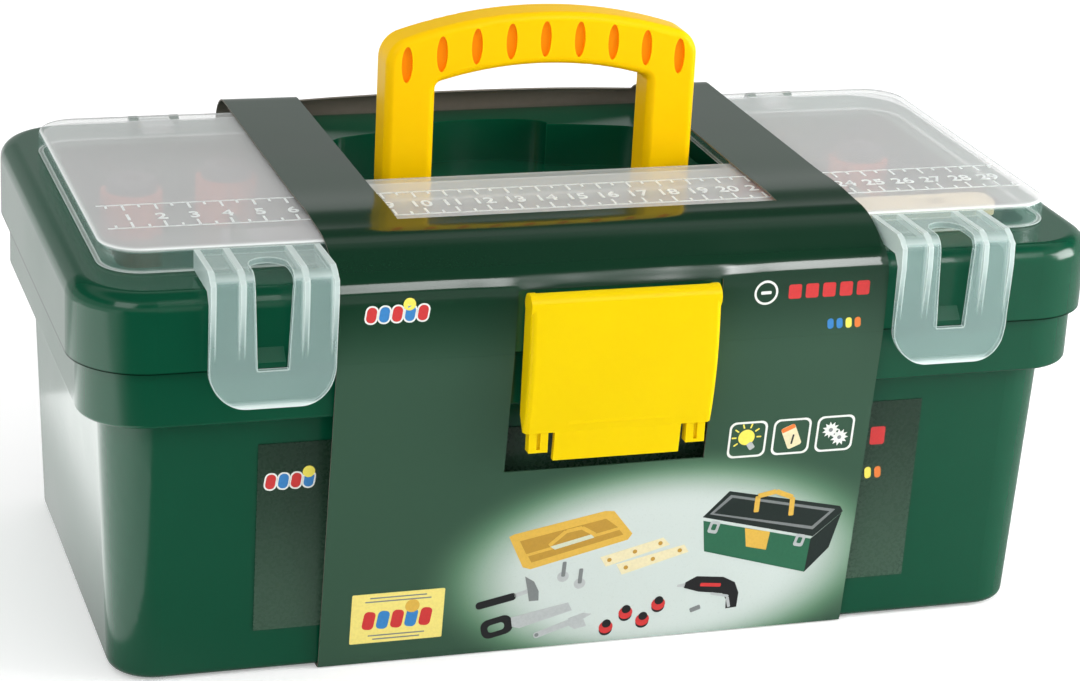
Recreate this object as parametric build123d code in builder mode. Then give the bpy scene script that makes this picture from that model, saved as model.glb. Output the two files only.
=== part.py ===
import os
from math import acos, atan2, cos, hypot, radians, sin, sqrt

from build123d import *

os.makedirs("parts", exist_ok=True)

# Toy tool box: a hollow base, a hinged lid with parts wells in its top, a clear cover over the
# wells, a folding carry handle, a front latch and a printed card sleeve.
# Millimetres, +X to the right, +Y to the back, +Z up. The origin is on the ground, under the
# middle of the box.

# Lid, seen from above, and its walls
lid_length = 324.4
lid_depth = 175.0
lid_height = 24.0
lid_corner_radius = 23.0
shoulder_radius = 5.5
lid_wall = 2.2
rim_flange_thickness = 2.0
lip_depth = 3.0
lip_wall = 1.8
lip_clearance = 0.5

# Card of the sleeve, and the small gap it keeps to what it lies on
card = 0.5
card_seat = 0.15
card_centre = card_seat + card / 2

# Base, standing on four low feet as high as the card that passes under it
seam_height = 105.0
seam_gap = 0.3
lid_overhang = 2.8
band_height = 18.0
band_step = 7.0
band_edge_radius = 1.2
body_taper = 3.3
floor_corner_radius = 14.0
floor_edge_radius = 3.0
base_wall = 2.2
foot_height = card + card_seat
foot_radius = 9.0
foot_inset = 30.0
overrun = 1.0

base_floor = foot_height
band_bottom = seam_height - band_height
rim_top = seam_height - seam_gap
lid_top = seam_height + lid_height
band_length = lid_length - 2 * lid_overhang
band_depth = lid_depth - 2 * lid_overhang
band_corner_radius = lid_corner_radius - lid_overhang
body_length = band_length - 2 * band_step
body_depth = band_depth - 2 * band_step
body_corner_radius = band_corner_radius - band_step / 2
floor_length = body_length - 2 * body_taper
floor_depth = body_depth - 2 * body_taper
lid_front = -lid_depth / 2
lid_back = lid_depth / 2
band_front = -band_depth / 2
band_back = band_depth / 2

# Lid hinges: two lugs on the base each side of one knuckle on the lid, with a pin through them
hinge_inset = 54.2
hinge_drop = 1.0
knuckle_radius = 3.4
knuckle_gap = 0.3
hinge_side_gap = 0.4
lid_knuckle_width = 8.0
base_lug_width = 6.0
pin_radius = 1.6
pin_clearance = 0.06
pin_head_radius = 2.5
pin_head_thickness = 0.9

hinge_offset = lid_length / 2 - hinge_inset
lid_hinge_y = lid_back + knuckle_radius + knuckle_gap
lid_hinge_z = seam_height - hinge_drop

# Clear cover, a U seen from above, open to the back round the handle
cover_side_inset = 10.45
cover_front_inset = 19.0
cover_back_inset = 22.5
cover_height = 7.6
cover_lift = 0.4
cover_wall = 1.6
cover_corner_radius = 13.0
cover_edge_radius = 1.9
strip_depth = 55.9
bay_side_reach = 6.5
bay_corner_radius = 6.0
inner_corner_radius = 2.0

cover_length = lid_length - 2 * cover_side_inset
cover_front = lid_front + cover_front_inset
cover_back = lid_back - cover_back_inset
cover_depth = cover_back - cover_front
cover_bottom = lid_top + cover_lift
cover_top = cover_bottom + cover_height
strip_back = cover_front + strip_depth

# Cover hinges at the back of the lid top
cover_arm_inset = 41.75
cover_arm_width = 10.0
cover_arm_thickness = 2.3
cover_barrel_radius = 1.9
cover_ear_width = 3.0
cover_ear_gap = 0.3
cover_axis_behind = 11.0
cover_axis_lift = 2.3
cover_pin_radius = 0.9

cover_arm_offset = cover_length / 2 - cover_arm_inset
cover_axis_y = cover_back + cover_axis_behind
cover_axis_z = lid_top + cover_axis_lift

# Carry handle, upright at rest
handle_half_width = 51.6
handle_leg_width = 16.2
handle_thickness = 14.0
handle_pivot_y = 1.0
handle_pivot_drop = 5.0
handle_front_reach = 5.0
handle_reach = 62.0
handle_arch_rise = 9.2
handle_grip_depth = 16.8
handle_inner_rise = 5.2
handle_corner_radius = 9.0
handle_inner_radius = 2.5
handle_edge_radius = 2.6
handle_heel_radius = 9.0
handle_stub_radius = 2.5
handle_stub_length = 3.8
handle_side_gap = 0.3
grip_recess_count = 9
grip_recess_spacing = 11.3
grip_recess_width = 3.6
grip_recess_height = 11.6
grip_recess_depth = 1.1

handle_pivot_z = lid_top - handle_pivot_drop
handle_front = handle_pivot_y - handle_front_reach
handle_back = handle_front + handle_thickness
handle_peak = handle_pivot_z + handle_reach
handle_shoulder = handle_peak - handle_arch_rise
handle_inner_peak = handle_peak - handle_grip_depth
handle_inner_shoulder = handle_inner_peak - handle_inner_rise

# Wells and the handle trough, sunk in the lid top
well_inset = 6.0
well_wall = 2.0
well_depth = 20.0
well_corner_radius = 6.0
divider = 4.0
well_rib_thickness = 1.6
trough_clearance = 0.9
trough_side_gap = 4.4
trough_front_gap = 10.0
trough_floor_gap = 0.6
trough_corner_radius = 10.0
finger_half_width = 24.0
finger_depth = 7.0

well_floor_height = lid_top - well_depth
trough_half_width = handle_half_width + trough_side_gap
trough_front = handle_front - trough_front_gap
trough_back = handle_pivot_y + handle_reach + trough_clearance
trough_shoulder = trough_back - handle_arch_rise
trough_floor = handle_pivot_z - handle_heel_radius - trough_floor_gap
well_outer = cover_length / 2 - well_inset
well_inner = trough_half_width + divider
well_front = cover_front + well_inset
well_back = cover_back - well_inset
bay_half_width = well_inner + bay_side_reach

# Front latch, hung from two lugs on the lid
latch_half_width = 29.8
latch_wall = 2.0
latch_top_drop = 4.0
latch_height = 44.0
latch_top_radius = 3.7
latch_shell = 1.25
latch_turn_angle = 20.0
latch_bulge = 8.7
latch_toe = 5.9
latch_side_back_gap = 0.9
latch_side_chamfer = 4.5
latch_edge_radius = 1.8
latch_tongue_half_width = 20.0
latch_tongue_reach = 9.5
latch_foot_inner = 22.0
latch_foot_outer = 28.0
latch_foot_reach = 6.5
latch_foot_depth = 3.4
latch_foot_groove = 1.2
latch_bar_radius = 1.2
latch_lug_radius = 2.25
latch_lug_width = 4.0
latch_lug_offset = 14.0
latch_lug_neck_drop = 0.4
latch_lid_gap = 0.2
latch_catch_height = 3.0
latch_catch_clearance = 0.4
latch_catch_half_width = 16.0

latch_top = lid_top - latch_top_drop
latch_bottom = latch_top - latch_height
latch_tongue_bottom = latch_bottom - latch_tongue_reach
latch_foot_bottom = latch_bottom - latch_foot_reach
latch_axis_y = lid_front - latch_top_radius - latch_lid_gap
latch_axis_z = latch_top - latch_top_radius
latch_mid_y = lid_front - latch_bulge
latch_toe_y = lid_front - latch_toe

# Clear clips, joined to the cover's front top edge by a film of the same plastic
clip_inset = 45.15
clip_width = 37.6
clip_wall = 1.9
clip_film_gap = 0.3
clip_top_drop = 1.0
clip_reach = 24.6
clip_bend_radius = 4.5
clip_height = 40.2
clip_flare_height = 8.5
clip_flare = 2.4
clip_corner_radius = 11.0
clip_slot_top_width = 11.4
clip_slot_bottom_width = 9.2
clip_slot_rise = 10.7
clip_slot_set_back = 9.5
clip_rib_width = 1.6
clip_rib_height = 1.1
clip_rib_rise = 14.0
clip_rib_crest_share = 0.45
clip_rib_bend_share = 0.6
clip_inner_rib_offset = 9.3
clip_gusset_depth = 5.8
clip_gusset_wall = 1.4
catch_nub_width = 8.4
catch_nub_height = 3.2
catch_nub_clearance = 0.5

clip_offset = cover_length / 2 - clip_inset
clip_top = cover_top - clip_top_drop
clip_bottom = clip_top - clip_height
clip_slot_bottom = clip_bottom + clip_slot_rise
clip_rib_end = clip_bottom + clip_rib_rise
clip_root = cover_front - clip_film_gap
clip_front = cover_front - clip_reach
clip_back_face = clip_front + clip_wall

# Card sleeve
card_cut_gap = 0.4
sleeve_clip_gap = 1.3
sleeve_window_side_gap = 5.0
sleeve_strip_depth = 18.5
sleeve_back_fold_radius = 5.0
sleeve_fold_radius = 1.5
sleeve_back_edge_drop = 3.2
sleeve_back_bow = 2.4
sleeve_cut_reach = 2.2
latch_window_side_gap = 2.4
latch_window_top_gap = 1.2
latch_window_bottom_gap = 6.8

sleeve_half_width = clip_offset - clip_width / 2 - sleeve_clip_gap
sleeve_window_half_width = trough_half_width + sleeve_window_side_gap
sleeve_window_front = cover_front + sleeve_strip_depth
latch_window_half_width = latch_half_width + latch_window_side_gap
latch_window_top = latch_top + latch_window_top_gap
latch_window_bottom = latch_tongue_bottom - latch_window_bottom_gap

# Front label, a thin sticker on the base's front wall
label_side_inset = 42.1
label_lift = 14.35
label_top_drop = 10.0
label_thickness = 0.3

label_half_width = floor_length / 2 - label_side_inset
label_bottom = base_floor + label_lift
label_top = band_bottom - label_top_drop

# Lift-out tray, on the ledge inside the base
tray_flange_clearance = 3.0
tray_flange_thickness = 2.0
tray_wall = 2.0
tray_depth = 20.0
tray_side_clearance = 5.5
tray_corner_radius = 10.0
tray_grip_half_length = 62.0
tray_grip_thickness = 4.0
tray_grip_drop = 2.0
tray_grip_bar = 4.0
tray_grip_slot_half_length = 34.0
tray_grip_slot_height = 8.0

ledge_top = band_bottom + base_wall
tray_grip_top = seam_height - tray_grip_drop
tray_grip_slot_top = tray_grip_top - tray_grip_bar
tray_grip_slot_bottom = tray_grip_slot_top - tray_grip_slot_height

# Small toy pieces in the wells
nut_radius = 10.0
nut_height = 14.0
nut_cap_height = 4.0
nut_cap_radius = 8.2
nut_bore_radius = 3.2
nut_notch_radius = 1.7
nut_notch_count = 8
bar_length = 195.0
bar_width = 13.0
bar_thickness = 4.0
bar_hole_radius = 3.3
bar_hole_inset = 19.5
bar_shift = 40.5
bar_front_inset = 19.5
screw_head_radius = 6.5
screw_head_height = 5.0
screw_shank_radius = 3.0
screw_length = 30.0
screw_slot = 1.6

bar_hole_pitch = bar_length / 2 - bar_hole_inset
bar_lid_y = cover_front + bar_front_inset


def plan(height, length, depth, radius, x=0, y=0):
    """A rounded rectangle seen from above, at a height."""
    with BuildSketch(Plane.XY.offset(height)) as outline:
        with Locations((x, y)):
            RectangleRounded(length, depth, radius)
    return outline.sketch


def block(low, high, mode=Mode.ADD):
    """A box from its lowest to its highest corner."""
    with Locations(low):
        Box(high[0] - low[0], high[1] - low[1], high[2] - low[2],
            align=(Align.MIN, Align.MIN, Align.MIN), mode=mode)


def round_bar(x_start, x_end, y, z, radius, mode=Mode.ADD):
    """A cylinder that lies along X."""
    with BuildSketch(Plane.YZ.offset(x_start)) as section:
        with Locations((y, z)):
            Circle(radius)
    extrude(section.sketch, amount=x_end - x_start, mode=mode)


def side_plate(x_start, x_end, points, mode=Mode.ADD):
    """A plate with an outline given as (y, z) points, extruded along X."""
    with BuildSketch(Plane.YZ.offset(x_start)) as section:
        with BuildLine():
            Polyline(*points, close=True)
        make_face()
    extrude(section.sketch, amount=x_end - x_start, mode=mode)


def card_strip(points, radii, half_width):
    """A strip of card that follows (y, z) points with rounded folds."""
    with BuildLine(Plane.YZ) as fold_line:
        FilletPolyline(*points, radius=radii)
    start = Plane(origin=fold_line.line @ 0, x_dir=(1, 0, 0), z_dir=fold_line.line % 0)
    with BuildSketch(start) as section:
        Rectangle(2 * half_width, card)
    sweep(section.sketch, path=fold_line.line)


# Base box: tapered body, a wider rim band and a ledge between them
with BuildPart() as base_box:
    with BuildSketch(Plane.XY.offset(band_bottom)):
        RectangleRounded(band_length, band_depth, band_corner_radius)
    extrude(amount=rim_top - band_bottom)
    fillet(base_box.edges().group_by(Axis.Z)[0], band_edge_radius)
    with BuildSketch(Plane.XY.offset(base_floor)):
        RectangleRounded(floor_length, floor_depth, floor_corner_radius)
    with BuildSketch(Plane.XY.offset(band_bottom)):
        RectangleRounded(body_length, body_depth, body_corner_radius)
    loft()
    fillet(base_box.edges().group_by(Axis.Z)[0], floor_edge_radius)
    with BuildSketch(Plane.XY.offset(base_floor + base_wall)):
        RectangleRounded(floor_length - 2 * base_wall, floor_depth - 2 * base_wall,
                         floor_corner_radius - base_wall)
    with BuildSketch(Plane.XY.offset(ledge_top)):
        RectangleRounded(body_length - 2 * base_wall, body_depth - 2 * base_wall,
                         body_corner_radius - base_wall)
    loft(mode=Mode.SUBTRACT)
    with BuildSketch(Plane.XY.offset(ledge_top)):
        RectangleRounded(band_length - 2 * base_wall, band_depth - 2 * base_wall,
                         band_corner_radius - base_wall)
    extrude(amount=band_height, mode=Mode.SUBTRACT)
    with BuildSketch(Plane.XY):
        with GridLocations(floor_length - 2 * foot_inset, floor_depth - 2 * foot_inset, 2, 2):
            Circle(foot_radius)
    extrude(amount=foot_height)
    for hinge_x in (-hinge_offset, hinge_offset):
        for side in (-1, 1):
            lug_near = hinge_x + side * (lid_knuckle_width / 2 + hinge_side_gap)
            lug_low = min(lug_near, lug_near + side * base_lug_width)
            lug_high = lug_low + base_lug_width
            round_bar(lug_low, lug_high, lid_hinge_y, lid_hinge_z, knuckle_radius)
            side_plate(lug_low, lug_high, [
                (band_back - base_wall / 2, lid_hinge_z - 2 * knuckle_radius),
                (lid_hinge_y, lid_hinge_z - knuckle_radius),
                (lid_hinge_y, lid_hinge_z),
                (band_back - base_wall / 2, lid_hinge_z)])
            round_bar(lug_low, lug_high, lid_hinge_y, lid_hinge_z, pin_radius, Mode.SUBTRACT)
base_box.part.label = "base_box"
export_step(base_box.part, "parts/base_box.step")

# Lid hinge pins, pressed into the base's lugs
for side_name, hinge_x in (("left", -hinge_offset), ("right", hinge_offset)):
    half_span = lid_knuckle_width / 2 + hinge_side_gap + base_lug_width
    outward = 1 if hinge_x > 0 else -1
    head_start = hinge_x + outward * half_span
    with BuildPart() as hinge_pin:
        round_bar(hinge_x - half_span, hinge_x + half_span, lid_hinge_y, lid_hinge_z, pin_radius)
        round_bar(min(head_start, head_start + outward * pin_head_thickness),
                  max(head_start, head_start + outward * pin_head_thickness),
                  lid_hinge_y, lid_hinge_z, pin_head_radius)
    hinge_pin.part.label = "lid_hinge_pin_" + side_name
    export_step(hinge_pin.part, "parts/lid_hinge_pin_" + side_name + ".step")

# Space inside the lid shell
with BuildPart() as lid_space:
    with BuildSketch(Plane.XY.offset(seam_height + rim_flange_thickness)):
        RectangleRounded(lid_length - 2 * lid_wall, lid_depth - 2 * lid_wall,
                         lid_corner_radius - lid_wall)
    extrude(amount=lid_height - rim_flange_thickness - lid_wall)
    fillet(lid_space.edges().group_by(Axis.Z)[-1], shoulder_radius - lid_wall)
    lip_outer_length = band_length - 2 * base_wall - 2 * lip_clearance
    lip_outer_depth = band_depth - 2 * base_wall - 2 * lip_clearance
    lip_outer_radius = band_corner_radius - base_wall - lip_clearance
    with BuildSketch(Plane.XY.offset(seam_height - lip_depth)):
        RectangleRounded(lip_outer_length - 2 * lip_wall, lip_outer_depth - 2 * lip_wall,
                         lip_outer_radius - lip_wall)
    extrude(amount=lip_depth + rim_flange_thickness)

# The trough that takes the folded handle: straight sides, a bowed back and a finger bay
with BuildPart() as trough_space:
    with BuildSketch(Plane.XY.offset(trough_floor)) as trough_plan:
        with BuildLine():
            trough_sides = Polyline((-trough_half_width, trough_shoulder),
                                    (-trough_half_width, trough_front),
                                    (trough_half_width, trough_front),
                                    (trough_half_width, trough_shoulder))
            ThreePointArc(trough_sides @ 1, (0, trough_back), trough_sides @ 0)
        make_face()
        fillet(trough_plan.vertices(), trough_corner_radius)
        with Locations((0, trough_back)):
            Ellipse(finger_half_width, finger_depth)
    extrude(amount=lid_top - trough_floor + overrun)

# Lid: shell, wells, trough, ears for the handle and the cover, lugs for the latch, catch nubs
with BuildPart() as lid:
    extrude(plan(seam_height, lid_length, lid_depth, lid_corner_radius), amount=lid_height)
    fillet(lid.edges().group_by(Axis.Z)[-1], shoulder_radius)
    extrude(plan(seam_height - lip_depth, lip_outer_length, lip_outer_depth, lip_outer_radius),
            amount=lip_depth)
    add(lid_space.part, mode=Mode.SUBTRACT)
    well_block_depth = well_back - well_front + 2 * well_wall
    well_middle = (well_back + well_front) / 2
    extrude(plan(well_floor_height - well_wall, 2 * (well_outer + well_wall), well_block_depth,
                 well_corner_radius + well_wall, 0, well_middle),
            amount=lid_top - lid_wall / 2 - well_floor_height + well_wall)
    trough_block_back = trough_back + finger_depth + well_wall
    block((-trough_half_width - divider / 2, trough_front - divider, trough_floor - well_wall),
          (trough_half_width + divider / 2, trough_block_back, lid_top - lid_wall / 2))
    well_length = well_outer - well_inner
    for side in (-1, 1):
        extrude(plan(well_floor_height, well_length, well_back - well_front, well_corner_radius,
                     side * (well_outer + well_inner) / 2, well_middle),
                amount=lid_top - well_floor_height + overrun, mode=Mode.SUBTRACT)
    front_well_back = trough_front - divider
    extrude(plan(well_floor_height, 2 * trough_half_width, front_well_back - well_front,
                 well_corner_radius, 0, (front_well_back + well_front) / 2),
            amount=lid_top - well_floor_height + overrun, mode=Mode.SUBTRACT)
    add(trough_space.part, mode=Mode.SUBTRACT)
    for side in (-1, 1):
        rib_x = side * (well_outer + well_inner) / 2
        block((rib_x - well_rib_thickness / 2, well_front - well_wall / 2, well_floor_height),
              (rib_x + well_rib_thickness / 2, front_well_back, lid_top))
    ear_inner = handle_half_width + handle_side_gap
    ear_outer = trough_half_width + divider / 2
    for low_x, high_x in ((-ear_outer, -ear_inner), (ear_inner, ear_outer)):
        block((low_x, handle_pivot_y - handle_heel_radius, trough_floor - well_wall / 2),
              (high_x, handle_pivot_y + handle_heel_radius, lid_top))
    stub_end = handle_half_width + handle_stub_length + handle_side_gap
    for low_x, high_x in ((-stub_end, -ear_inner), (ear_inner, stub_end)):
        round_bar(low_x, high_x, handle_pivot_y, handle_pivot_z,
                  handle_stub_radius + pin_clearance, Mode.SUBTRACT)
    for hinge_x in (-hinge_offset, hinge_offset):
        knuckle_low = hinge_x - lid_knuckle_width / 2
        knuckle_high = hinge_x + lid_knuckle_width / 2
        round_bar(knuckle_low, knuckle_high, lid_hinge_y, lid_hinge_z, knuckle_radius)
        side_plate(knuckle_low, knuckle_high, [
            (lid_back - lid_wall / 2, seam_height),
            (lid_hinge_y, lid_hinge_z),
            (lid_hinge_y, lid_hinge_z + knuckle_radius),
            (lid_back - lid_wall / 2, lid_hinge_z + 3 * knuckle_radius)])
        round_bar(knuckle_low, knuckle_high, lid_hinge_y, lid_hinge_z,
                  pin_radius + pin_clearance, Mode.SUBTRACT)
    for arm_x in (-cover_arm_offset, cover_arm_offset):
        for side in (-1, 1):
            ear_near = arm_x + side * (cover_arm_width / 2 + cover_ear_gap)
            ear_low = min(ear_near, ear_near + side * cover_ear_width)
            ear_high = ear_low + cover_ear_width
            round_bar(ear_low, ear_high, cover_axis_y, cover_axis_z, cover_barrel_radius)
            block((ear_low, cover_axis_y - cover_barrel_radius, lid_top - lid_wall / 2),
                  (ear_high, cover_axis_y + cover_barrel_radius, cover_axis_z))
            round_bar(ear_low, ear_high, cover_axis_y, cover_axis_z, cover_pin_radius,
                      Mode.SUBTRACT)
    for lug_x in (-latch_lug_offset, latch_lug_offset):
        lug_low = lug_x - latch_lug_width / 2
        lug_high = lug_x + latch_lug_width / 2
        round_bar(lug_low, lug_high, latch_axis_y, latch_axis_z, latch_lug_radius)
        block((lug_low, latch_axis_y, latch_axis_z - latch_lug_radius),
              (lug_high, lid_front + lid_wall / 2, latch_axis_z - latch_lug_neck_drop))
        round_bar(lug_low, lug_high, latch_axis_y, latch_axis_z,
                  latch_bar_radius + pin_clearance, Mode.SUBTRACT)
    nub_reach = clip_back_face + catch_nub_clearance
    for nub_x in (-clip_offset, clip_offset):
        side_plate(nub_x - catch_nub_width / 2, nub_x + catch_nub_width / 2, [
            (lid_front + lid_wall / 2, clip_slot_bottom - catch_nub_height / 3),
            (nub_reach, clip_slot_bottom),
            (nub_reach, clip_slot_bottom + catch_nub_height / 2),
            (lid_front + lid_wall / 2, clip_slot_bottom + 2 * catch_nub_height)])
lid.part.label = "lid"
export_step(lid.part, "parts/lid.step")

# Clear cover: a shallow U-shaped shell with two hinge arms at the back
with BuildPart() as clear_cover:
    with BuildSketch(Plane.XY.offset(cover_bottom)) as cover_plan:
        with Locations((0, (cover_front + cover_back) / 2)):
            RectangleRounded(cover_length, cover_depth, cover_corner_radius)
        with Locations((0, (strip_back + cover_back + overrun) / 2)):
            Rectangle(2 * bay_half_width, cover_back + overrun - strip_back, mode=Mode.SUBTRACT)
        bay_corners = cover_plan.vertices().filter_by_position(
            Axis.X, -bay_half_width - overrun, bay_half_width + overrun)
        fillet(bay_corners.group_by(Axis.Y)[0].filter_by_position(
            Axis.Y, strip_back - overrun, strip_back + overrun), bay_corner_radius)
        fillet(cover_plan.vertices().filter_by_position(
            Axis.X, -bay_half_width - overrun, bay_half_width + overrun).group_by(Axis.Y)[-1],
            inner_corner_radius)
    extrude(amount=cover_height)
    fillet(clear_cover.edges().group_by(Axis.Z)[-1], cover_edge_radius)
    with BuildSketch(Plane.XY.offset(cover_bottom)):
        offset(cover_plan.sketch, amount=-cover_wall, kind=Kind.INTERSECTION)
    extrude(amount=cover_height - cover_wall, mode=Mode.SUBTRACT)
    for arm_x in (-cover_arm_offset, cover_arm_offset):
        arm_low = arm_x - cover_arm_width / 2
        arm_high = arm_x + cover_arm_width / 2
        round_bar(arm_low, arm_high, cover_axis_y, cover_axis_z, cover_barrel_radius)
        arm_bottom = cover_axis_z - cover_barrel_radius
        block((arm_low, cover_back - cover_wall / 2, arm_bottom + cover_barrel_radius / 2),
              (arm_high, cover_axis_y,
               arm_bottom + cover_barrel_radius / 2 + cover_arm_thickness))
        round_bar(arm_low, arm_high, cover_axis_y, cover_axis_z,
                  cover_pin_radius + pin_clearance, Mode.SUBTRACT)
clear_cover.part.label = "clear_cover"
export_step(clear_cover.part, "parts/clear_cover.step")

# Cover hinge pins, pressed into the lid's ears
for side_name, arm_x in (("left", -cover_arm_offset), ("right", cover_arm_offset)):
    half_span = cover_arm_width / 2 + cover_ear_gap + cover_ear_width
    with BuildPart() as cover_pin:
        round_bar(arm_x - half_span, arm_x + half_span, cover_axis_y, cover_axis_z,
                  cover_pin_radius)
    cover_pin.part.label = "cover_hinge_pin_" + side_name
    export_step(cover_pin.part, "parts/cover_hinge_pin_" + side_name + ".step")

# Clips: an arm over the lid's shoulder, a hanging plate with a slot, ribs and a flared toe
clip_bend_y = clip_front + clip_bend_radius
clip_flare_top = clip_bottom + clip_flare_height
for side_name, clip_x in (("left", -clip_offset), ("right", clip_offset)):
    clip_low = clip_x - clip_width / 2
    clip_high = clip_x + clip_width / 2
    with BuildPart() as cover_clip:
        with BuildSketch(Plane.YZ.offset(clip_low)) as clip_section:
            with BuildLine():
                clip_arm = Line((clip_root, clip_top - clip_wall), (clip_root, clip_top))
                arm_top = Line(clip_arm @ 1, (clip_bend_y, clip_top))
                outer_bend = RadiusArc(arm_top @ 1, (clip_front, clip_top - clip_bend_radius),
                                       -clip_bend_radius)
                Polyline(outer_bend @ 1, (clip_front, clip_flare_top),
                         (clip_front - clip_flare, clip_bottom),
                         (clip_front - clip_flare + clip_wall, clip_bottom),
                         (clip_back_face, clip_flare_top),
                         (clip_back_face, clip_top - clip_bend_radius))
                RadiusArc((clip_back_face, clip_top - clip_bend_radius),
                          (clip_bend_y, clip_top - clip_wall), clip_bend_radius - clip_wall)
                Line((clip_bend_y, clip_top - clip_wall), clip_arm @ 0)
            make_face()
        extrude(amount=clip_width)
        with BuildSketch(Plane.XZ.offset(-clip_root)) as toe_outline:
            with Locations((clip_x, clip_bottom + clip_reach)):
                RectangleRounded(clip_width, 2 * clip_reach, clip_corner_radius)
            with Locations((clip_x, clip_bottom + 2 * clip_reach)):
                Rectangle(clip_width, 2 * clip_reach)
        extrude(amount=clip_reach + 2 * clip_flare + overrun, mode=Mode.INTERSECT)
        for rib_x in (clip_x - clip_inner_rib_offset, clip_x + clip_inner_rib_offset,
                      clip_low + clip_rib_width / 2, clip_high - clip_rib_width / 2):
            side_plate(rib_x - clip_rib_width / 2, rib_x + clip_rib_width / 2, [
                (clip_root - clip_wall, clip_top - clip_wall / 2),
                (clip_root - clip_wall, clip_top),
                (clip_bend_y, clip_top + clip_rib_height * clip_rib_crest_share),
                (clip_front - clip_rib_height * clip_rib_bend_share,
                 clip_top - clip_bend_radius * clip_rib_bend_share),
                (clip_front - clip_rib_height, clip_top - 2 * clip_bend_radius),
                (clip_front, clip_rib_end),
                (clip_front + clip_wall / 2, clip_rib_end),
                (clip_front + clip_wall / 2, clip_top - clip_bend_radius),
                (clip_bend_y, clip_top - clip_wall / 2)])
        for gusset_low in (clip_low, clip_high - clip_gusset_wall):
            side_plate(gusset_low, gusset_low + clip_gusset_wall, [
                (clip_root, clip_top - clip_wall / 2),
                (clip_root - clip_film_gap, clip_top - clip_gusset_depth),
                (lid_front - overrun, clip_top - clip_gusset_depth),
                (clip_back_face - clip_wall / 2,
                 clip_top - clip_gusset_depth - clip_bend_radius),
                (clip_front + clip_wall / 2, clip_top - clip_bend_radius),
                (clip_bend_y, clip_top - clip_wall / 2)])
        slot_top_y = clip_root - clip_slot_set_back - clip_slot_top_width / 2
        with BuildSketch(Plane.XY.offset(clip_top + clip_wall)):
            with Locations((clip_x, slot_top_y)):
                Circle(clip_slot_top_width / 2)
            with Locations((clip_x, (slot_top_y + clip_front - clip_wall) / 2)):
                Rectangle(clip_slot_top_width, slot_top_y - clip_front + clip_wall)
        extrude(amount=-clip_bend_radius - clip_wall, mode=Mode.SUBTRACT)
        slot_cut_top = clip_top - clip_bend_radius + clip_wall
        with BuildSketch(Plane.XZ.offset(-clip_back_face - clip_wall)):
            with BuildLine():
                Polyline((clip_x - clip_slot_bottom_width / 2, clip_slot_bottom),
                         (clip_x + clip_slot_bottom_width / 2, clip_slot_bottom),
                         (clip_x + clip_slot_top_width / 2, slot_cut_top),
                         (clip_x - clip_slot_top_width / 2, slot_cut_top), close=True)
            make_face()
        extrude(amount=3 * clip_wall + clip_flare, mode=Mode.SUBTRACT)
    cover_clip.part.label = "cover_clip_" + side_name
    export_step(cover_clip.part, "parts/cover_clip_" + side_name + ".step")

# Carry handle: an arch on two legs, with stub pins and a row of grip recesses
with BuildPart() as carry_handle:
    with BuildSketch(Plane.XZ.offset(-handle_back)) as handle_outline:
        with BuildLine():
            handle_sides = Polyline((-handle_half_width, handle_shoulder),
                                    (-handle_half_width, handle_pivot_z - handle_heel_radius),
                                    (handle_half_width, handle_pivot_z - handle_heel_radius),
                                    (handle_half_width, handle_shoulder))
            ThreePointArc(handle_sides @ 1, (0, handle_peak), handle_sides @ 0)
        make_face()
        fillet(handle_outline.vertices().group_by(Axis.Y)[-1], handle_corner_radius)
    extrude(amount=handle_thickness)
    with BuildSketch(Plane.XZ.offset(-handle_back)) as finger_gap:
        inner_half = handle_half_width - handle_leg_width
        with BuildLine():
            gap_sides = Polyline((-inner_half, handle_inner_shoulder),
                                 (-inner_half, handle_pivot_z - handle_heel_radius - overrun),
                                 (inner_half, handle_pivot_z - handle_heel_radius - overrun),
                                 (inner_half, handle_inner_shoulder))
            ThreePointArc(gap_sides @ 1, (0, handle_inner_peak), gap_sides @ 0)
        make_face()
        fillet(finger_gap.vertices().group_by(Axis.Y)[-1], handle_inner_radius)
    extrude(amount=handle_thickness, mode=Mode.SUBTRACT)
    grip_edges = (carry_handle.faces().sort_by(Axis.Y)[0].edges()
                  + carry_handle.faces().sort_by(Axis.Y)[-1].edges())
    fillet(grip_edges.filter_by(lambda edge: edge.center().Z > handle_pivot_z),
           handle_edge_radius)
    with BuildSketch(Plane.YZ.offset(-handle_half_width)) as heel_waste:
        with Locations((handle_pivot_y, handle_pivot_z - handle_heel_radius)):
            Rectangle(4 * handle_heel_radius, 2 * handle_heel_radius)
        with Locations((handle_pivot_y, handle_pivot_z)):
            Circle(handle_heel_radius, mode=Mode.SUBTRACT)
    extrude(amount=2 * handle_half_width, mode=Mode.SUBTRACT)
    arch_radius = (handle_half_width ** 2 + handle_arch_rise ** 2) / (2 * handle_arch_rise)
    grip_middle = (handle_peak + handle_inner_peak) / 2
    with BuildSketch(Plane.XZ.offset(-handle_front)) as grip_recesses:
        for number in range(grip_recess_count):
            recess_x = (number - (grip_recess_count - 1) / 2) * grip_recess_spacing
            recess_drop = arch_radius - sqrt(arch_radius ** 2 - recess_x ** 2)
            with Locations((recess_x, grip_middle - recess_drop)):
                Ellipse(grip_recess_width / 2, grip_recess_height / 2)
    extrude(amount=-grip_recess_depth, mode=Mode.SUBTRACT)
    stub_tip = handle_half_width + handle_stub_length
    round_bar(-stub_tip, -handle_half_width, handle_pivot_y, handle_pivot_z, handle_stub_radius)
    round_bar(handle_half_width, stub_tip, handle_pivot_y, handle_pivot_z, handle_stub_radius)
carry_handle.part.label = "carry_handle"
export_step(carry_handle.part, "parts/carry_handle.step")

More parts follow.
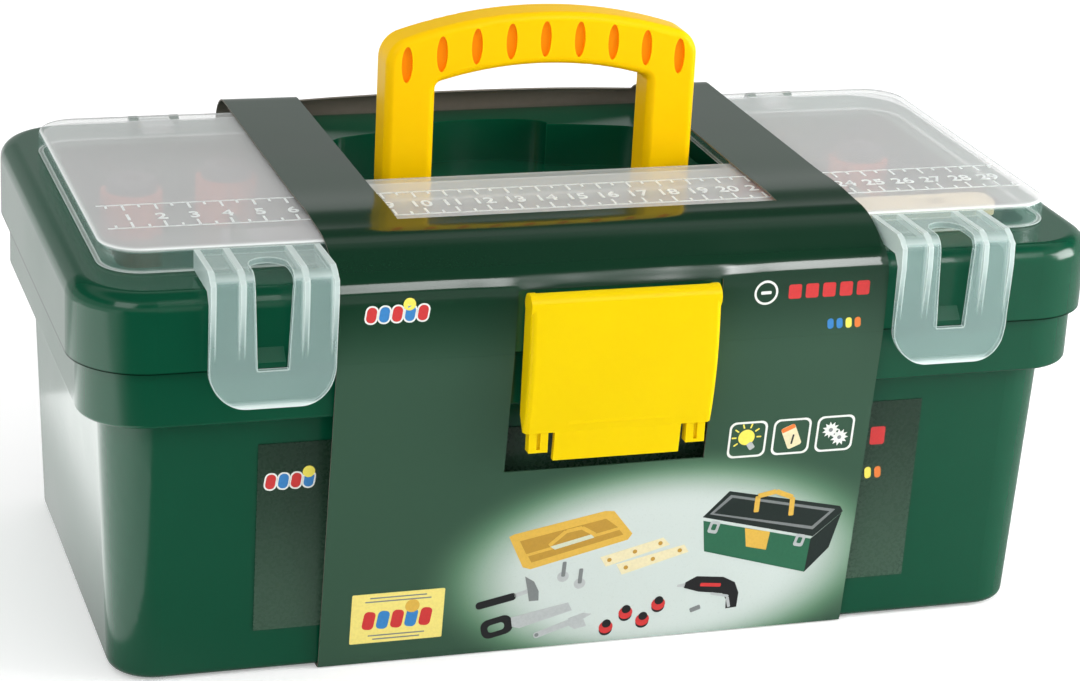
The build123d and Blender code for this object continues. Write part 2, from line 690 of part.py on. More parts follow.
# Front latch: a bulging shell with side walls, a hinge bar, a tongue and two small feet
latch_middle_z = (latch_top + latch_bottom) / 2
latch_turn_y = latch_axis_y - latch_top_radius * cos(radians(latch_turn_angle))
latch_turn_z = latch_axis_z + latch_top_radius * sin(radians(latch_turn_angle))
latch_inner_radius = latch_top_radius - latch_shell
latch_inner_y = latch_axis_y - latch_inner_radius * cos(radians(latch_turn_angle))
latch_inner_z = latch_axis_z + latch_inner_radius * sin(radians(latch_turn_angle))
latch_side_back = lid_front - latch_side_back_gap
with BuildPart() as front_latch:
    with BuildSketch(Plane.YZ.offset(-latch_half_width)) as latch_section:
        with BuildLine():
            RadiusArc((latch_axis_y, latch_top), (latch_turn_y, latch_turn_z), -latch_top_radius)
            ThreePointArc((latch_turn_y, latch_turn_z), (latch_mid_y, latch_middle_z),
                          (latch_toe_y, latch_bottom))
            Line((latch_toe_y, latch_bottom), (latch_toe_y + latch_wall, latch_bottom))
            ThreePointArc((latch_toe_y + latch_wall, latch_bottom),
                          (latch_mid_y + latch_wall, latch_middle_z),
                          (latch_inner_y, latch_inner_z))
            RadiusArc((latch_inner_y, latch_inner_z), (latch_axis_y, latch_top - latch_shell),
                      latch_inner_radius)
            Line((latch_axis_y, latch_top - latch_shell), (latch_axis_y, latch_top))
        make_face()
    extrude(amount=2 * latch_half_width)
    for wall_low in (-latch_half_width, latch_half_width - latch_wall):
        wall_high = wall_low + latch_wall
        round_bar(wall_low, wall_high, latch_axis_y, latch_axis_z, latch_top_radius)
        side_plate(wall_low, wall_high, [
            (latch_axis_y, latch_axis_z),
            (latch_turn_y + latch_shell / 2, latch_turn_z - latch_shell),
            (latch_mid_y + latch_wall / 2, latch_middle_z),
            (latch_toe_y + latch_wall / 2, latch_bottom),
            (latch_toe_y + latch_wall, latch_bottom),
            (latch_side_back, latch_bottom + latch_side_chamfer),
            (latch_side_back, latch_axis_z)])
    latch_face = front_latch.faces().sort_by(Axis.Y)[0]
    fillet(latch_face.edges().filter_by_position(Axis.X, -latch_half_width, -latch_half_width)
           + latch_face.edges().filter_by_position(Axis.X, latch_half_width, latch_half_width),
           latch_edge_radius)
    round_bar(-latch_half_width + latch_wall / 2, latch_half_width - latch_wall / 2,
              latch_axis_y, latch_axis_z, latch_bar_radius)
    side_plate(-latch_tongue_half_width, latch_tongue_half_width, [
        (latch_toe_y, latch_bottom + latch_wall / 2), (latch_toe_y, latch_bottom),
        (latch_toe_y + latch_wall / 2, latch_tongue_bottom),
        (latch_toe_y + 3 * latch_wall / 2, latch_tongue_bottom),
        (latch_toe_y + latch_wall, latch_bottom + latch_wall / 2)])
    for side in (-1, 1):
        foot_low = min(side * latch_foot_inner, side * latch_foot_outer)
        foot_high = foot_low + latch_foot_outer - latch_foot_inner
        foot_front = latch_toe_y + latch_wall / 4
        block((foot_low, foot_front, latch_foot_bottom),
              (foot_high, foot_front + latch_foot_depth, latch_bottom + latch_wall / 2))
        groove_x = (foot_low + foot_high) / 2
        block((groove_x - latch_foot_groove / 2, foot_front - overrun, latch_foot_bottom + overrun),
              (groove_x + latch_foot_groove / 2, foot_front + latch_wall / 2,
               latch_bottom), Mode.SUBTRACT)
    catch_top = band_bottom - seam_gap
    block((-latch_catch_half_width, latch_mid_y + latch_wall, catch_top - latch_catch_height),
          (latch_catch_half_width, band_front - latch_catch_clearance, catch_top))
front_latch.part.label = "front_latch"
export_step(front_latch.part, "parts/front_latch.step")


def wall_front(height):
    """Where the sloping front wall of the base body stands at a height."""
    rise_share = (height - base_floor) / (band_bottom - base_floor)
    return -(floor_depth / 2 + rise_share * body_taper)


# Front label, flat on the base's front wall behind the sleeve
with BuildPart() as front_label:
    label_low = wall_front(label_bottom) - card_seat / 3
    label_high = wall_front(label_top) - card_seat / 3
    side_plate(-label_half_width, label_half_width, [
        (label_low, label_bottom), (label_low - label_thickness, label_bottom),
        (label_high - label_thickness, label_top), (label_high, label_top)])
front_label.part.label = "front_label"
export_step(front_label.part, "parts/front_label.step")

# Card sleeve. It was wrapped round the closed box, and is cut where cover, lid and base part
card_top = cover_top + card_centre
card_front = lid_front - card_centre
card_back = lid_back + card_centre
card_under = card / 2
card_fold_y = cover_front - card_centre
shoulder_y = lid_front + shoulder_radius
shoulder_z = lid_top - shoulder_radius
shoulder_card_radius = shoulder_radius + card_centre
fold_reach = hypot(card_fold_y - shoulder_y, card_top - shoulder_z)
tangent_angle = (atan2(card_top - shoulder_z, card_fold_y - shoulder_y)
                 + acos(shoulder_card_radius / fold_reach))
tangent_y = shoulder_y + shoulder_card_radius * cos(tangent_angle)
tangent_z = shoulder_z + shoulder_card_radius * sin(tangent_angle)
card_slope = (tangent_z - card_top) / (tangent_y - card_fold_y)


def slope_point(y):
    """A point of the sloping card between the cover's edge and the lid's shoulder."""
    return (y, card_top + card_slope * (y - card_fold_y))


card_cut_y = card_fold_y - sleeve_cut_reach
with BuildPart() as sleeve_top_panel:
    card_strip([(cover_back, card_top), (card_fold_y, card_top),
                slope_point(card_cut_y + card_cut_gap / 2)],
               sleeve_fold_radius, sleeve_half_width)
    block((-sleeve_window_half_width, sleeve_window_front, card_top - card),
          (sleeve_window_half_width, cover_back + overrun, card_top + card), Mode.SUBTRACT)
sleeve_top_panel.part.label = "sleeve_top_panel"
export_step(sleeve_top_panel.part, "parts/sleeve_top_panel.step")

with BuildPart() as sleeve_lid_front:
    card_strip([slope_point(card_cut_y - card_cut_gap / 2), slope_point(card_front),
                (card_front, seam_height + card_cut_gap / 2)],
               shoulder_card_radius, sleeve_half_width)
    block((-latch_window_half_width, card_front - card, latch_window_bottom),
          (latch_window_half_width, shoulder_y, latch_window_top), Mode.SUBTRACT)
sleeve_lid_front.part.label = "sleeve_lid_front"
export_step(sleeve_lid_front.part, "parts/sleeve_lid_front.step")

# The cover's back wall swings past this edge of the card
card_swing_rise = card_top + card / 2 - cover_axis_z
card_swing_y = cover_axis_y - sqrt(cover_axis_behind ** 2 - card_swing_rise ** 2)
with BuildPart() as sleeve_lid_back:
    card_strip([(card_swing_y + card_cut_gap, card_top), (card_back, card_top),
                (card_back, seam_height + card_cut_gap / 2)],
               sleeve_back_fold_radius, sleeve_half_width)
    with BuildSketch(Plane.XZ.offset(-cover_back)) as back_window:
        with BuildLine():
            window_sides = Polyline(
                (-sleeve_window_half_width, card_top - sleeve_back_edge_drop),
                (-sleeve_window_half_width, card_top + card),
                (sleeve_window_half_width, card_top + card),
                (sleeve_window_half_width, card_top - sleeve_back_edge_drop))
            ThreePointArc(window_sides @ 1,
                          (0, card_top - sleeve_back_edge_drop + sleeve_back_bow),
                          window_sides @ 0)
        make_face()
    extrude(amount=-2 * (lid_back - cover_back), mode=Mode.SUBTRACT)
sleeve_lid_back.part.label = "sleeve_lid_back"
export_step(sleeve_lid_back.part, "parts/sleeve_lid_back.step")

with BuildPart() as sleeve_base_wrap:
    card_foot_y = floor_depth / 2 + 2 * card_centre
    card_strip([(card_front, seam_height - card_cut_gap / 2), (-card_foot_y, card_under),
                (card_foot_y, card_under), (card_back, seam_height - card_cut_gap / 2)],
               sleeve_fold_radius, sleeve_half_width)
    block((-latch_window_half_width, card_front - overrun, latch_window_bottom),
          (latch_window_half_width, -body_depth / 2, latch_window_top), Mode.SUBTRACT)
sleeve_base_wrap.part.label = "sleeve_base_wrap"
export_step(sleeve_base_wrap.part, "parts/sleeve_base_wrap.step")

# Lift-out tray: a flange on the ledge, a tub with three pockets and an arched grip
tray_length = body_length - 2 * base_wall - 2 * tray_side_clearance
tray_width = body_depth - 2 * base_wall - 2 * tray_side_clearance
tray_bottom = ledge_top - tray_depth
tray_rim = ledge_top + tray_flange_thickness
with BuildPart() as lift_out_tray:
    flange_margin = 2 * base_wall + 2 * tray_flange_clearance
    extrude(plan(ledge_top, band_length - flange_margin, band_depth - flange_margin,
                 band_corner_radius - base_wall - tray_flange_clearance),
            amount=tray_flange_thickness)
    extrude(plan(tray_bottom, tray_length, tray_width, tray_corner_radius),
            amount=tray_depth)
    pocket_length = tray_length - 2 * tray_wall
    pocket_width = (tray_width - 2 * tray_wall - tray_grip_thickness) / 2
    pocket_y = (pocket_width + tray_grip_thickness) / 2
    pocket_floor = tray_bottom + tray_wall
    pocket_radius = tray_corner_radius - tray_wall
    extrude(plan(pocket_floor, pocket_length, pocket_width, pocket_radius, 0, -pocket_y),
            amount=tray_depth + tray_flange_thickness, mode=Mode.SUBTRACT)
    short_length = (pocket_length - tray_wall) / 2
    for side in (-1, 1):
        extrude(plan(pocket_floor, short_length, pocket_width, pocket_radius,
                     side * (short_length + tray_wall) / 2, pocket_y),
                amount=tray_depth + tray_flange_thickness, mode=Mode.SUBTRACT)
    with BuildSketch(Plane.XZ.offset(-tray_grip_thickness / 2)) as grip_outline:
        with BuildLine():
            grip_base = Polyline((-tray_grip_half_length, tray_rim),
                                 (-tray_grip_half_length, pocket_floor),
                                 (tray_grip_half_length, pocket_floor),
                                 (tray_grip_half_length, tray_rim))
            ThreePointArc(grip_base @ 1, (0, tray_grip_top), grip_base @ 0)
        make_face()
        with Locations((0, (tray_grip_slot_top + tray_grip_slot_bottom) / 2)):
            SlotOverall(2 * tray_grip_slot_half_length, tray_grip_slot_height,
                        mode=Mode.SUBTRACT)
    extrude(amount=tray_grip_thickness)
lift_out_tray.part.label = "lift_out_tray"
export_step(lift_out_tray.part, "parts/lift_out_tray.step")

# Spool nuts, standing on the well floors: a notched body and a cap on each
well_centre = (well_outer + well_inner) / 2
nut_places = [(-well_centre + nut_radius, well_back - 2 * nut_radius),
              (-well_outer + 2 * nut_radius, well_back - 3 * nut_radius),
              (well_centre - nut_radius, well_back - 2 * nut_radius),
              (well_outer - 2 * nut_radius, well_back - 3 * nut_radius)]
with BuildPart() as spool_nuts:
    with BuildSketch(Plane.XY.offset(well_floor_height)) as nut_plan:
        with Locations(*nut_places):
            Circle(nut_radius)
            Circle(nut_bore_radius, mode=Mode.SUBTRACT)
        for nut_x, nut_y in nut_places:
            for number in range(nut_notch_count):
                turn = radians(360 * number / nut_notch_count)
                with Locations((nut_x + nut_radius * cos(turn), nut_y + nut_radius * sin(turn))):
                    Circle(nut_notch_radius, mode=Mode.SUBTRACT)
    extrude(amount=nut_height)
spool_nuts.part.label = "spool_nuts"
export_step(spool_nuts.part, "parts/spool_nuts.step")

with BuildPart() as spool_nut_caps:
    with BuildSketch(Plane.XY.offset(well_floor_height + nut_height)):
        with Locations(*nut_places):
            Circle(nut_cap_radius)
            Circle(nut_bore_radius, mode=Mode.SUBTRACT)
    extrude(amount=nut_cap_height)
    fillet(spool_nut_caps.edges().group_by(Axis.Z)[-1].filter_by(
        lambda edge: edge.radius > nut_bore_radius), nut_cap_height / 3)
spool_nut_caps.part.label = "spool_nut_caps"
export_step(spool_nut_caps.part, "parts/spool_nut_caps.step")

# Toy screws, lying on the well floors with their heads towards the middle of the box
with BuildPart() as toy_screws:
    for side in (-1, 1):
        head_x = side * (well_inner + 2 * screw_head_radius)
        screw_y = (well_front + well_back) / 2
        screw_z = well_floor_height + screw_head_radius
        head_end = head_x + side * screw_head_height
        tip_x = head_x + side * screw_length
        round_bar(min(head_x, head_end), max(head_x, head_end), screw_y, screw_z,
                  screw_head_radius)
        round_bar(min(head_end, tip_x), max(head_end, tip_x), screw_y, screw_z,
                  screw_shank_radius)
        slot_low = min(head_x, head_x + side * screw_slot)
        block((slot_low, screw_y - screw_head_radius, screw_z - screw_slot / 2),
              (slot_low + screw_slot, screw_y + screw_head_radius, screw_z + screw_slot / 2),
              Mode.SUBTRACT)
toy_screws.part.label = "toy_screws"
export_step(toy_screws.part, "parts/toy_screws.step")

# Flat connector bars with three holes: one across the lid's front wells, one in the tray
bar_places = (("lid", bar_shift, bar_lid_y, lid_top), ("tray", 0, -pocket_y, pocket_floor))
for place_name, bar_x, bar_y, bar_z in bar_places:
    with BuildPart() as connector_bar:
        with BuildSketch(Plane.XY.offset(bar_z)):
            with Locations((bar_x, bar_y)):
                RectangleRounded(bar_length, bar_width, bar_width / 3)
            with Locations((bar_x - bar_hole_pitch, bar_y), (bar_x, bar_y),
                           (bar_x + bar_hole_pitch, bar_y)):
                Circle(bar_hole_radius, mode=Mode.SUBTRACT)
        extrude(amount=bar_thickness)
    connector_bar.part.label = "connector_bar_" + place_name
    export_step(connector_bar.part, "parts/connector_bar_" + place_name + ".step")
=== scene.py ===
import math

import bpy
import numpy as np
from mathutils import Matrix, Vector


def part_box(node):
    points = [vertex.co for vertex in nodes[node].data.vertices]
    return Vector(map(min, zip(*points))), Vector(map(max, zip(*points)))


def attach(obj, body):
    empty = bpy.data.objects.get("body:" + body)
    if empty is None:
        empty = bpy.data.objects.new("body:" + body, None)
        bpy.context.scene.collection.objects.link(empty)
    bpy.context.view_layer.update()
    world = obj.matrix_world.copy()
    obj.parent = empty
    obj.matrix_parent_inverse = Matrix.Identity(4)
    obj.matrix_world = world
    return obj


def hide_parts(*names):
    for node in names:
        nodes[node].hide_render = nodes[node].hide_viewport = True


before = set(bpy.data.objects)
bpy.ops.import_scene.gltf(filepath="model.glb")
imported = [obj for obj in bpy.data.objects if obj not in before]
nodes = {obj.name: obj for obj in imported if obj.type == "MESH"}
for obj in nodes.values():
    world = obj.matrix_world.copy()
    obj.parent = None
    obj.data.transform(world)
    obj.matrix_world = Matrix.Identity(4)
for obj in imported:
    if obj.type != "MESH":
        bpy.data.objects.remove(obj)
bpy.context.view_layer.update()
mm = 0.001


def newObject(name, data):
    item = bpy.data.objects.new(name, data)
    bpy.context.scene.collection.objects.link(item)
    return item


# Shader helpers: one node, one sum, one blend, one soft step, one noise and one shared group at a time

def place(tree, kind, sockets=None, **settings):
    node = tree.nodes.new("ShaderNode" + kind)
    for key, value in settings.items():
        setattr(node, key, value)
    for key, value in (sockets or {}).items():
        if isinstance(value, bpy.types.NodeSocket):
            tree.links.new(value, node.inputs[key])
        else:
            node.inputs[key].default_value = value
    return node


def work(tree, operation, first, second=0.0, clamp=False):
    return place(tree, "Math", {0: first, 1: second}, operation=operation, use_clamp=clamp).outputs[0]


def plus(tree, first, second, clamp=False):
    return work(tree, "ADD", first, second, clamp)


def minus(tree, first, second, clamp=False):
    return work(tree, "SUBTRACT", first, second, clamp)


def times(tree, first, second):
    return work(tree, "MULTIPLY", first, second)


def apart(tree, value, middle):
    # How far a value lies from a middle, either way.
    return work(tree, "ABSOLUTE", minus(tree, value, middle))


def squares(tree, first, second):
    return plus(tree, times(tree, first, first), times(tree, second, second))


def dot(tree, first, second):
    return place(tree, "VectorMath", {0: first, 1: second}, operation="DOT_PRODUCT").outputs["Value"]


def blend(tree, share, first, second):
    # Each end is a socket, or three plain values.
    ends = [end if isinstance(end, bpy.types.NodeSocket) else end + (1,) for end in (first, second)]
    return place(tree, "Mix", {0: share, 6: ends[0], 7: ends[1]}, data_type="RGBA").outputs[2]


def softStep(tree, value, start, end, low=0.0, high=1.0):
    return place(tree, "MapRange", {0: value, 1: start, 2: end, 3: low, 4: high},
                 interpolation_type="SMOOTHSTEP").outputs[0]


def between(tree, share, low, high):
    return place(tree, "MapRange", {0: share, 3: low, 4: high}).outputs[0]


def noise(tree, point, scale, detail=2.0):
    return place(tree, "TexNoise", {"Vector": point, "Scale": scale, "Detail": detail}).outputs["Fac"]


def objectPoint(tree):
    return place(tree, "TexCoord").outputs["Object"]


def splitPoint(tree, point):
    return place(tree, "SeparateXYZ", {0: point}).outputs


def makeGroup(name, inputs, outputs):
    tree = bpy.data.node_groups.new(name, "ShaderNodeTree")
    for label, value in inputs.items():
        tree.interface.new_socket(label, in_out="INPUT", socket_type="NodeSocketFloat").default_value = value
    for label in outputs:
        tree.interface.new_socket(label, in_out="OUTPUT", socket_type="NodeSocketFloat")
    return tree, tree.nodes.new("NodeGroupInput").outputs, tree.nodes.new("NodeGroupOutput").inputs


def useGroup(tree, group, values):
    return place(tree, "Group", values, node_tree=group).outputs


def emptyMaterial(name):
    material = bpy.data.materials.new(name)
    material.use_nodes = True
    material.node_tree.nodes.clear()
    return material, material.node_tree


def newMaterial(name):
    material, tree = emptyMaterial(name)
    shader = place(tree, "BsdfPrincipled")
    place(tree, "OutputMaterial", {"Surface": shader.outputs[0]})
    return material, tree, shader


def dress(tree, shader, colour, rough, height=None, strength=0.0, distance=mm):
    tree.links.new(colour, shader.inputs["Base Color"])
    tree.links.new(rough, shader.inputs["Roughness"])
    if height:
        bump = place(tree, "Bump", {"Height": height, "Strength": strength, "Distance": distance})
        tree.links.new(bump.outputs[0], shader.inputs["Normal"])


# Shared effects

def makeMouldedSkin():
    # Injection-moulded skin: a fine grain over a slow unevenness, and a roughness that drifts with the flow.
    tree, given, out = makeGroup("mouldedSkin", {
        "Grain Size": 0.0006, "Flow Size": 0.045, "Flow Share": 0.6, "Rough Low": 0.16, "Rough High": 0.26,
    }, ("Height", "Roughness", "Flow"))
    point = objectPoint(tree)
    grain = noise(tree, point, work(tree, "DIVIDE", 1.0, given["Grain Size"]))
    flow = noise(tree, point, work(tree, "DIVIDE", 1.0, given["Flow Size"]), 3.0)
    height = plus(tree, times(tree, flow, given["Flow Share"]), times(tree, grain, 0.05))
    drift = softStep(tree, flow, 0.1, 0.9, given["Rough Low"], given["Rough High"])
    for value, label in ((height, "Height"), (drift, "Roughness"), (flow, "Flow")):
        tree.links.new(value, out[label])
    return tree


def makeEdgeWear():
    # Edge mask: how far the rounded-off normal turns from the true one, broken up by a fine noise. Moulded
    # plastics use it for paler worn edges, clear plastics for painted edge highlights.
    tree, given, out = makeGroup("edgeWearAndHighlight", {"Width": 0.0008, "Breakup": 0.4}, ("Mask",))
    rounded = place(tree, "Bevel", {"Radius": given["Width"]}, samples=4).outputs[0]
    turned = dot(tree, rounded, place(tree, "NewGeometry").outputs["True Normal"])
    edge = softStep(tree, minus(tree, 1.0, turned), 0.01, 0.25)
    fine = noise(tree, objectPoint(tree), 260.0, 3.0)
    broken = times(tree, minus(tree, 1.0, fine), given["Breakup"])
    tree.links.new(minus(tree, edge, broken, clamp=True), out["Mask"])
    return tree


def makeScuffs():
    # Handling marks: hair-thin scratches, where a stretched noise runs along a slow one, and a little dust.
    tree, given, out = makeGroup("scuffs", {"Scratch": 0.5, "Dust": 0.3}, ("Scratches", "Dust"))
    point = objectPoint(tree)
    turned = place(tree, "Mapping", {"Vector": point, "Rotation": (0.3, 0.9, 0.5), "Scale": (1.0, 14.0, 3.0)})
    streaks = softStep(tree, noise(tree, turned.outputs[0], 90.0, 4.0), 0.70, 0.74)
    some = times(tree, streaks, softStep(tree, noise(tree, point, 22.0), 0.52, 0.62))
    tree.links.new(times(tree, some, given["Scratch"]), out["Scratches"])
    specks = softStep(tree, noise(tree, point, 1500.0, 1.0), 0.66, 0.76)
    tree.links.new(times(tree, specks, given["Dust"]), out["Dust"])
    return tree


mouldedSkin = makeMouldedSkin()
edgeWearAndHighlight = makeEdgeWear()
scuffs = makeScuffs()


def skinAndWear(tree, look, breakup):
    skin = useGroup(tree, mouldedSkin, {
        "Grain Size": look["grain"], "Flow Size": look["flow"], "Flow Share": look["flowShare"],
        "Rough Low": look["rough"][0], "Rough High": look["rough"][1]})
    return skin, useGroup(tree, edgeWearAndHighlight, {"Width": look["edgeWidth"], "Breakup": breakup})


# Materials

def mouldedPlastic(name, look):
    # One moulded plastic: base colour with a slow tint, paler edges, fine scratches, grain in the bump, and a
    # painted shadow line, with less shine, where two shells meet.
    material, tree, shader = newMaterial(name)
    skin, wearAndHighlight = skinAndWear(tree, look, 0.35)
    marks = useGroup(tree, scuffs, {"Scratch": look["scratch"], "Dust": look["dust"]})
    tint = blend(tree, softStep(tree, skin["Flow"], 0.15, 0.85), look["colour"], look["tint"])
    edged = blend(tree, times(tree, wearAndHighlight["Mask"], look["edgeShare"]), tint, look["edge"])
    colour = blend(tree, marks["Dust"], edged, look["edge"])
    # Painted shadow: a near-black line at the seam height, where the shine is also taken away, stands in for
    # the shade in the gap between the shells.
    if "seam" in look:
        seam = look["seam"]
        fromSeam = apart(tree, splitPoint(tree, objectPoint(tree))[2], seam["z"])
        seamShadow = softStep(tree, fromSeam, *seam["half"], seam["share"], 0.0)
        colour = blend(tree, seamShadow, colour, seam["colour"])
        shine = times(tree, minus(tree, 1.0, seamShadow), look["shine"])
        tree.links.new(shine, shader.inputs["Specular IOR Level"])
    rough = plus(tree, skin["Roughness"], times(tree, marks["Scratches"], 0.25))
    dress(tree, shader, colour, rough, skin["Height"], look["bump"])
    for label, value in {
            "IOR": look["ior"], "Specular IOR Level": look["shine"], "Subsurface Weight": look["soft"],
            "Subsurface Radius": (0.004, 0.003, 0.001), "Subsurface Scale": 1.0}.items():
        shader.inputs[label].default_value = value
    return material


greenLook = {
    "colour": (0.0008, 0.060, 0.028), "tint": (0.0010, 0.068, 0.032), "edge": (0.02, 0.17, 0.09),
    "edgeShare": 0.35, "edgeWidth": 0.0009, "grain": 0.0007, "flow": 0.05, "flowShare": 0.5,
    "rough": (0.15, 0.22), "bump": 0.05, "ior": 1.49, "scratch": 0.2, "dust": 0.04, "soft": 0.0, "shine": 0.5,
    # seam: a painted shadow line at the height where lid and base meet.
    "seam": {"z": 0.105, "half": (0.00015, 0.0007), "share": 0.9, "colour": (0.0, 0.004, 0.002)},
}
yellowLook = {
    "colour": (0.95, 0.56, 0.0002), "tint": (0.97, 0.58, 0.0002), "edge": (1.0, 0.68, 0.01),
    "edgeShare": 0.4, "edgeWidth": 0.0010, "grain": 0.0006, "flow": 0.03, "flowShare": 0.3,
    "rough": (0.28, 0.34), "bump": 0.06, "ior": 1.47, "scratch": 0.25, "dust": 0.03, "soft": 0.15,
    "shine": 0.07,
}
latchLook = {**yellowLook, "colour": (0.78, 0.55, 0.0005), "tint": (0.80, 0.57, 0.0005)}
trayLook = {**yellowLook, "colour": (0.80, 0.46, 0.01), "tint": (0.84, 0.50, 0.015), "soft": 0.1}
orangeLook = {
    "colour": (0.70, 0.10, 0.02), "tint": (0.76, 0.13, 0.03), "edge": (0.95, 0.35, 0.15),
    "edgeShare": 0.4, "edgeWidth": 0.0005, "grain": 0.0005, "flow": 0.01, "flowShare": 0.4,
    "rough": (0.25, 0.35), "bump": 0.1, "ior": 1.5, "scratch": 0.2, "dust": 0.05, "soft": 0.0, "shine": 0.5,
}
blackLook = {
    **orangeLook, "colour": (0.012, 0.012, 0.013), "tint": (0.02, 0.02, 0.02), "edge": (0.10, 0.10, 0.10),
}
greyLook = {**orangeLook, "colour": (0.30, 0.31, 0.32), "tint": (0.36, 0.37, 0.37), "edge": (0.6, 0.6, 0.6)}
creamLook = {
    **orangeLook, "colour": (0.80, 0.66, 0.38), "tint": (0.84, 0.71, 0.44), "edge": (0.95, 0.88, 0.7),
}


def handleYellow(name, look, grip):
    # The handle's yellow, with painted shade that makes it deeper and more orange inside the pressed grip
    # recesses. Each recess is the ellipse (x - centre)^2 / width^2 + (z - middle)^2 / height^2 < 1, its
    # middle dropping with the arch.
    material = mouldedPlastic(name, look)
    tree = material.node_tree
    shader = next(n for n in tree.nodes if n.type == "BSDF_PRINCIPLED")
    plain = shader.inputs["Base Color"].links[0].from_socket
    x, y, z = splitPoint(tree, objectPoint(tree))
    centre = times(tree, work(tree, "ROUND", work(tree, "DIVIDE", x, grip["pitch"])), grip["pitch"])
    chord = minus(tree, grip["archRadius"] ** 2, times(tree, centre, centre))
    middle = plus(tree, work(tree, "SQRT", chord), grip["middleZ"] - grip["archRadius"])
    across = work(tree, "DIVIDE", minus(tree, x, centre), grip["halfWidth"])
    along = work(tree, "DIVIDE", minus(tree, z, middle), grip["halfHeight"])
    ellipse = softStep(tree, squares(tree, across, along), 1.03, 1.10, 1.0, 0.0)
    faceY, depth = grip["frontY"], grip["depth"]
    deep = softStep(tree, y, faceY, faceY + depth)
    near = softStep(tree, y, faceY + 2 * depth, faceY + 3 * depth, 1.0, 0.0)
    row = softStep(tree, work(tree, "ABSOLUTE", x), grip["rowEnd"], grip["rowEnd"] + depth, 1.0, 0.0)
    # Painted shade: this mask turns the yellow deeper orange where the recesses lie in shade.
    recessShade = times(tree, times(tree, ellipse, deep), times(tree, near, row))
    tree.links.new(blend(tree, recessShade, plain, grip["colour"]), shader.inputs["Base Color"])
    return material


# Where the grip recesses lie, and the orange of their painted shade.
gripRecessShade = {
    "frontY": -0.004, "depth": 0.0011, "pitch": 0.0113, "rowEnd": 0.0480, "archRadius": 0.1493,
    "middleZ": 0.1776, "halfWidth": 0.0018, "halfHeight": 0.0058, "colour": (1.0, 0.30, 0.001),
}


def ribMask(tree, ribs):
    # Painted highlights down each clip's ribs, at even distances from the clip's middle, and a painted
    # highlight along its lower edge.
    x, y, z = splitPoint(tree, objectPoint(tree))
    across = apart(tree, work(tree, "ABSOLUTE", x), ribs["centre"])
    inner = apart(tree, across, ribs["inner"])
    nearest = work(tree, "MINIMUM", inner, apart(tree, across, ribs["outer"]))
    near = softStep(tree, nearest, ribs["half"], ribs["fade"] * ribs["half"], 1.0, 0.0)
    strip = times(tree, near, softStep(tree, z, ribs["endZ"], ribs["topZ"], 0.0, ribs["share"]))
    toe = softStep(tree, z, ribs["toeZ"], ribs["toeZ"] + ribs["toeHigh"], ribs["toeShare"], 0.0)
    return work(tree, "MAXIMUM", strip, toe)


def clearPlastic(name, look, ribs=None):
    # Frosted clear plastic: milky on its level top, clearer on its upright walls, with near-white painted
    # highlights along its edges and on the rounding between them. Most light passes on to what lies under it.
    material, tree, shader = newMaterial(name)
    skin, wearAndHighlight = skinAndWear(tree, look, 0.05)
    upward = work(tree, "ABSOLUTE", splitPoint(tree, place(tree, "TexCoord").outputs["Normal"])[2])
    level = softStep(tree, upward, 0.40, 0.97)
    # Painted highlight: a near-white band on the rounding between the level top and the upright walls.
    rim = times(tree, times(tree, level, minus(tree, 1.0, level)), 4 * look["rimHighlightShare"])
    white = work(tree, "MAXIMUM", wearAndHighlight["Mask"], rim)
    if ribs:
        white = work(tree, "MAXIMUM", white, ribMask(tree, ribs))
    base = blend(tree, softStep(tree, skin["Flow"], 0.1, 0.9), look["colour"], look["tint"])
    frosted = blend(tree, level, base, look["top"])
    # The painted highlights on the edges, the rounding and the clip's ribs take the near-white edge colour.
    edged = blend(tree, times(tree, white, look["edgeShare"]), frosted, look["edge"])
    dress(tree, shader, edged, skin["Roughness"], skin["Height"], look["bump"])
    edgeSolid = times(tree, white, look["edgeSolid"])
    solid = plus(tree, between(tree, level, *look["cover"]), edgeSolid, clamp=True)
    clear = minus(tree, between(tree, level, *look["through"]), edgeSolid, clamp=True)
    shadow = times(tree, place(tree, "LightPath").outputs["Is Shadow Ray"], look["passing"])
    tree.links.new(times(tree, solid, minus(tree, 1.0, shadow)), shader.inputs["Alpha"])
    tree.links.new(clear, shader.inputs["Transmission Weight"])
    shader.inputs["IOR"].default_value = look["ior"]
    return material


# On clear plastic the edge colour is the colour of the painted highlights.
coverLook = {
    "colour": (0.24, 0.42, 0.37), "tint": (0.30, 0.48, 0.43), "top": (0.96, 0.96, 0.96),
    "edge": (0.95, 0.98, 0.97), "edgeShare": 0.9, "edgeWidth": 0.0012, "edgeSolid": 0.6, "rimHighlightShare": 1.0,
    "grain": 0.0006, "flow": 0.03, "flowShare": 0.3, "rough": (0.16, 0.20), "bump": 0.05, "ior": 1.45,
    "through": (0.30, 0.10), "cover": (0.20, 0.36), "passing": 0.9,
}
clipLook = {
    **coverLook, "colour": (0.32, 0.46, 0.44), "tint": (0.37, 0.52, 0.49), "top": (0.48, 0.60, 0.57),
    "edge": (0.80, 0.88, 0.86), "edgeWidth": 0.0009, "edgeSolid": 0.4, "rimHighlightShare": 0.4,
    "through": (0.25, 0.25), "cover": (0.50, 0.52),
}
# Where the painted highlights on the clip's ribs and lower edge lie.
clipRibHighlights = {
    "centre": 0.1066, "inner": 0.0093, "outer": 0.0180, "half": 0.0008, "fade": 1.7, "endZ": 0.1100,
    "topZ": 0.1300, "share": 0.6, "toeZ": 0.0964, "toeHigh": 0.0012, "toeShare": 0.8,
}


